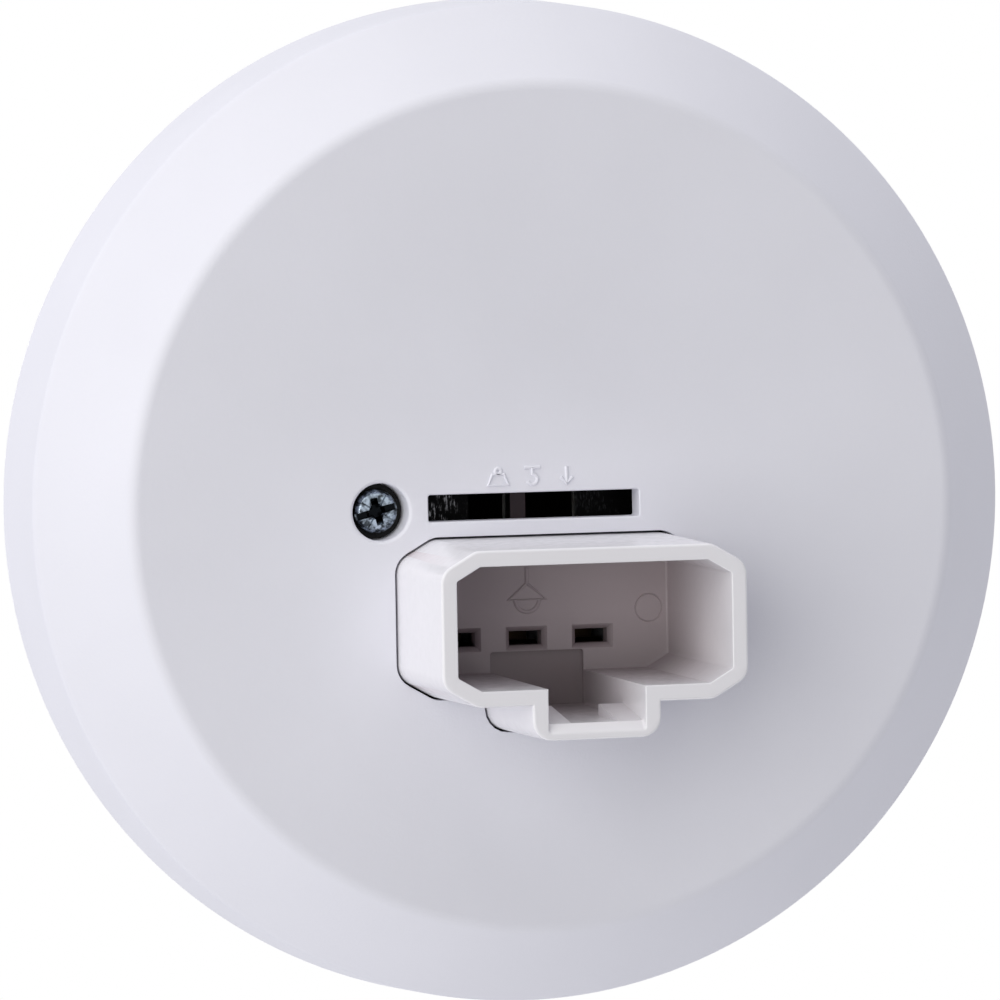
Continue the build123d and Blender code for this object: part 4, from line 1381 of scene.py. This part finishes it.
class OUTLET_OT_stage(bpy.types.Operator):
    """Set up the floor, the light and the camera"""

    bl_idname = "outlet.stage"
    bl_label = "Stage"

    def execute(self, context):
        settings = context.scene.outlet_stage
        context.scene.view_settings.view_transform = "Standard"
        self.camera(context, settings)
        for name, watts, size, toward in (
            ("Key lamp", settings.key_power, settings.key_size, (0.70, 0.15, -0.695)),
            ("High lamp", settings.high_power, settings.fill_size, (0.0, 0.95, -0.3)),
            ("Low lamp", settings.low_power, settings.fill_size, (0.0, -0.95, -0.3)),
            ("Back lamp", settings.back_power, settings.back_size, (0.0, 0.0, 1.0)),
        ):
            lamp = self.lamp(name, settings.lamp_distance * Vector(toward))
            lamp.energy = watts
            lamp.size = size
            lamp.color = settings.lamp_tint
        self.world(context, settings)
        self.floor(settings)
        self.shades(context.scene.outlet_cover, context.scene.outlet_socket)
        return {"FINISHED"}

    def camera(self, context, settings):
        """The camera at the photograph's place."""
        data = bpy.data.cameras.new("Photo camera")
        data.lens = settings.lens
        data.sensor_width = 36.0
        camera = add_object("Photo camera", data)
        view = (
            Matrix.Rotation(settings.roll, 3, "Z")
            @ Matrix.Rotation(settings.tilt, 3, "X")
            @ Matrix.Rotation(settings.swing, 3, "Y")
        )
        face_down = Matrix.Diagonal((-1, 1, -1))
        place = Vector((settings.camera_x, settings.camera_y, settings.camera_z))
        camera.matrix_world = Matrix.Translation(place) @ (face_down @ view.transposed()).to_4x4()
        context.scene.camera = camera

    def lamp(self, name, place):
        """A soft lamp that looks at the object from one side."""
        data = bpy.data.lights.new(name, "AREA")
        lamp = add_object(name, data)
        lamp.location = place
        lamp.rotation_euler = place.to_track_quat("Z", "Y").to_euler()
        return data

    def world(self, context, settings):
        """Plain surroundings, brightest at the horizon; the camera and reflections see white."""
        world = bpy.data.worlds.new("Studio")
        context.scene.world = world
        world.use_nodes = True
        world.node_tree.nodes.clear()
        graph = Graph(world.node_tree)
        place = graph.add("ShaderNodeTexCoord").outputs["Generated"]
        height = graph.add("ShaderNodeSeparateXYZ", {"Vector": place}).outputs["Z"]
        levels = ((0.0, settings.below), (0.5, settings.belt), (1.0, settings.above))
        stops = [(level, [strength * part for part in settings.belt_tint]) for level, strength in levels]
        light = graph.add("ShaderNodeBackground", {"Color": graph.ramp(graph.span(height, -1, 1), *stops)})
        white = graph.add("ShaderNodeBackground", {"Color": (1, 1, 1)})
        seen = graph.seen_rays("Is Transmission Ray")
        mix = graph.add("ShaderNodeMixShader", {"Fac": seen, 1: light, 2: white})
        graph.add("ShaderNodeOutputWorld", {"Surface": mix})

    def floor(self, settings):
        """A pale floor far below; it is seen but throws no light back."""
        outline = rectangle(settings.floor_side, settings.floor_side)
        corners = [(*corner, -settings.floor_depth) for corner in outline]
        data = bpy.data.meshes.new("Floor")
        data.from_pydata(corners, [], [(0, 1, 2, 3)])
        floor = add_object("Floor", data)
        pale = Finish("Pale floor")
        pale.feed(pale.shader["Base Color"], (0.8, 0.8, 0.8))
        pale.feed(pale.shader["Emission Color"], (0.5, 0.5, 0.5))
        pale.feed(pale.shader["Emission Strength"], 1.0)
        data.materials.append(pale.material)
        floor.visible_diffuse = False
        floor.visible_glossy = False
        floor.visible_shadow = False

    def shades(self, cover, socket):
        """Painted shade seen from below: a dark ceiling disc inside the outlet and a dark ring behind the
        joint round the socket; from above the view and the light pass through.
        """
        material = self.shade_finish()
        ceiling = Skin()
        ceiling_radius, ceiling_drop, joint_rise = 59 * MM, 0.2 * MM, 0.1 * MM
        ceiling_depth = -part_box("hook_bracket")[1].z + ceiling_drop
        ceiling.cap(ceiling.ring(circle_outline(ceiling_radius, steps=96), ceiling_depth))
        joint = Skin()
        joint_depth = cover.face_depth - cover.wall - joint_rise
        inner = socket.wall + socket.draft
        joint_width = 1.6 * MM
        outlines = [collar_outline(socket, growth) for growth in (inner, inner + joint_width)]
        joint.wall(*[joint.ring(outline, joint_depth) for outline in outlines])
        for skin, name in ((ceiling, "Ceiling shade"), (joint, "Joint shade")):
            for face in skin.mesh.faces:
                if face.normal.z > 0:
                    face.normal_flip()
            shade = add_mesh(name, skin.mesh)
            shade.data.materials.append(material)

    def shade_finish(self):
        """Painted shade: black from its front for the camera and in reflections, clear otherwise."""
        material = bpy.data.materials.new("Shade")
        material.use_nodes = True
        material.node_tree.nodes.clear()
        graph = Graph(material.node_tree)
        rear = graph.add("ShaderNodeNewGeometry").outputs["Backfacing"]
        front = graph.math("SUBTRACT", graph.seen_rays(), rear)
        front.use_clamp = True
        clear = graph.add("ShaderNodeBsdfTransparent")
        dark = graph.add("ShaderNodeBsdfDiffuse", {"Color": (0.002, 0.002, 0.002)})
        mix = graph.add("ShaderNodeMixShader", {"Fac": front, 1: clear, 2: dark})
        graph.add("ShaderNodeOutputMaterial", {"Surface": mix})
        return material


class OUTLET_PT_build(bpy.types.Panel):
    """Lists the steps that build the outlet"""

    bl_idname = "OUTLET_PT_build"
    bl_label = "Ceiling outlet"
    bl_space_type = "VIEW_3D"
    bl_region_type = "UI"
    bl_category = "Outlet"

    def draw(self, context):
        for step in STEPS:
            self.layout.operator(step.bl_idname)


GROUPS = {
    "outlet_cover": CoverSizes,
    "outlet_socket": SocketSizes,
    "outlet_fixings": FixingSizes,
    "outlet_colours": FinishColours,
    "outlet_stage": StageSettings,
}
STEPS = (
    OUTLET_OT_cover,
    OUTLET_OT_socket,
    OUTLET_OT_cover_screw,
    OUTLET_OT_fixings,
    OUTLET_OT_marks,
    OUTLET_OT_bracket,
    OUTLET_OT_base,
    OUTLET_OT_terminals,
    OUTLET_OT_buttons,
    OUTLET_OT_stage,
)


def register():
    """Adds the settings, the steps and the panel to Blender."""
    for entry in (*GROUPS.values(), *STEPS, OUTLET_PT_build):
        bpy.utils.register_class(entry)
    for name, group in GROUPS.items():
        setattr(bpy.types.Scene, name, PointerProperty(type=group))


def unregister():
    """Takes them out again."""
    for name in GROUPS:
        delattr(bpy.types.Scene, name)
    for entry in (OUTLET_PT_build, *reversed(STEPS), *GROUPS.values()):
        bpy.utils.unregister_class(entry)


def main():
    """Builds every piece and the stage in order."""
    register()
    bpy.ops.outlet.cover()
    bpy.ops.outlet.socket()
    bpy.ops.outlet.cover_screw()
    bpy.ops.outlet.fixings()
    bpy.ops.outlet.marks()
    bpy.ops.outlet.bracket()
    bpy.ops.outlet.base()
    bpy.ops.outlet.terminals()
    bpy.ops.outlet.buttons()
    bpy.ops.outlet.stage()


if __name__ == "__main__":
    main()
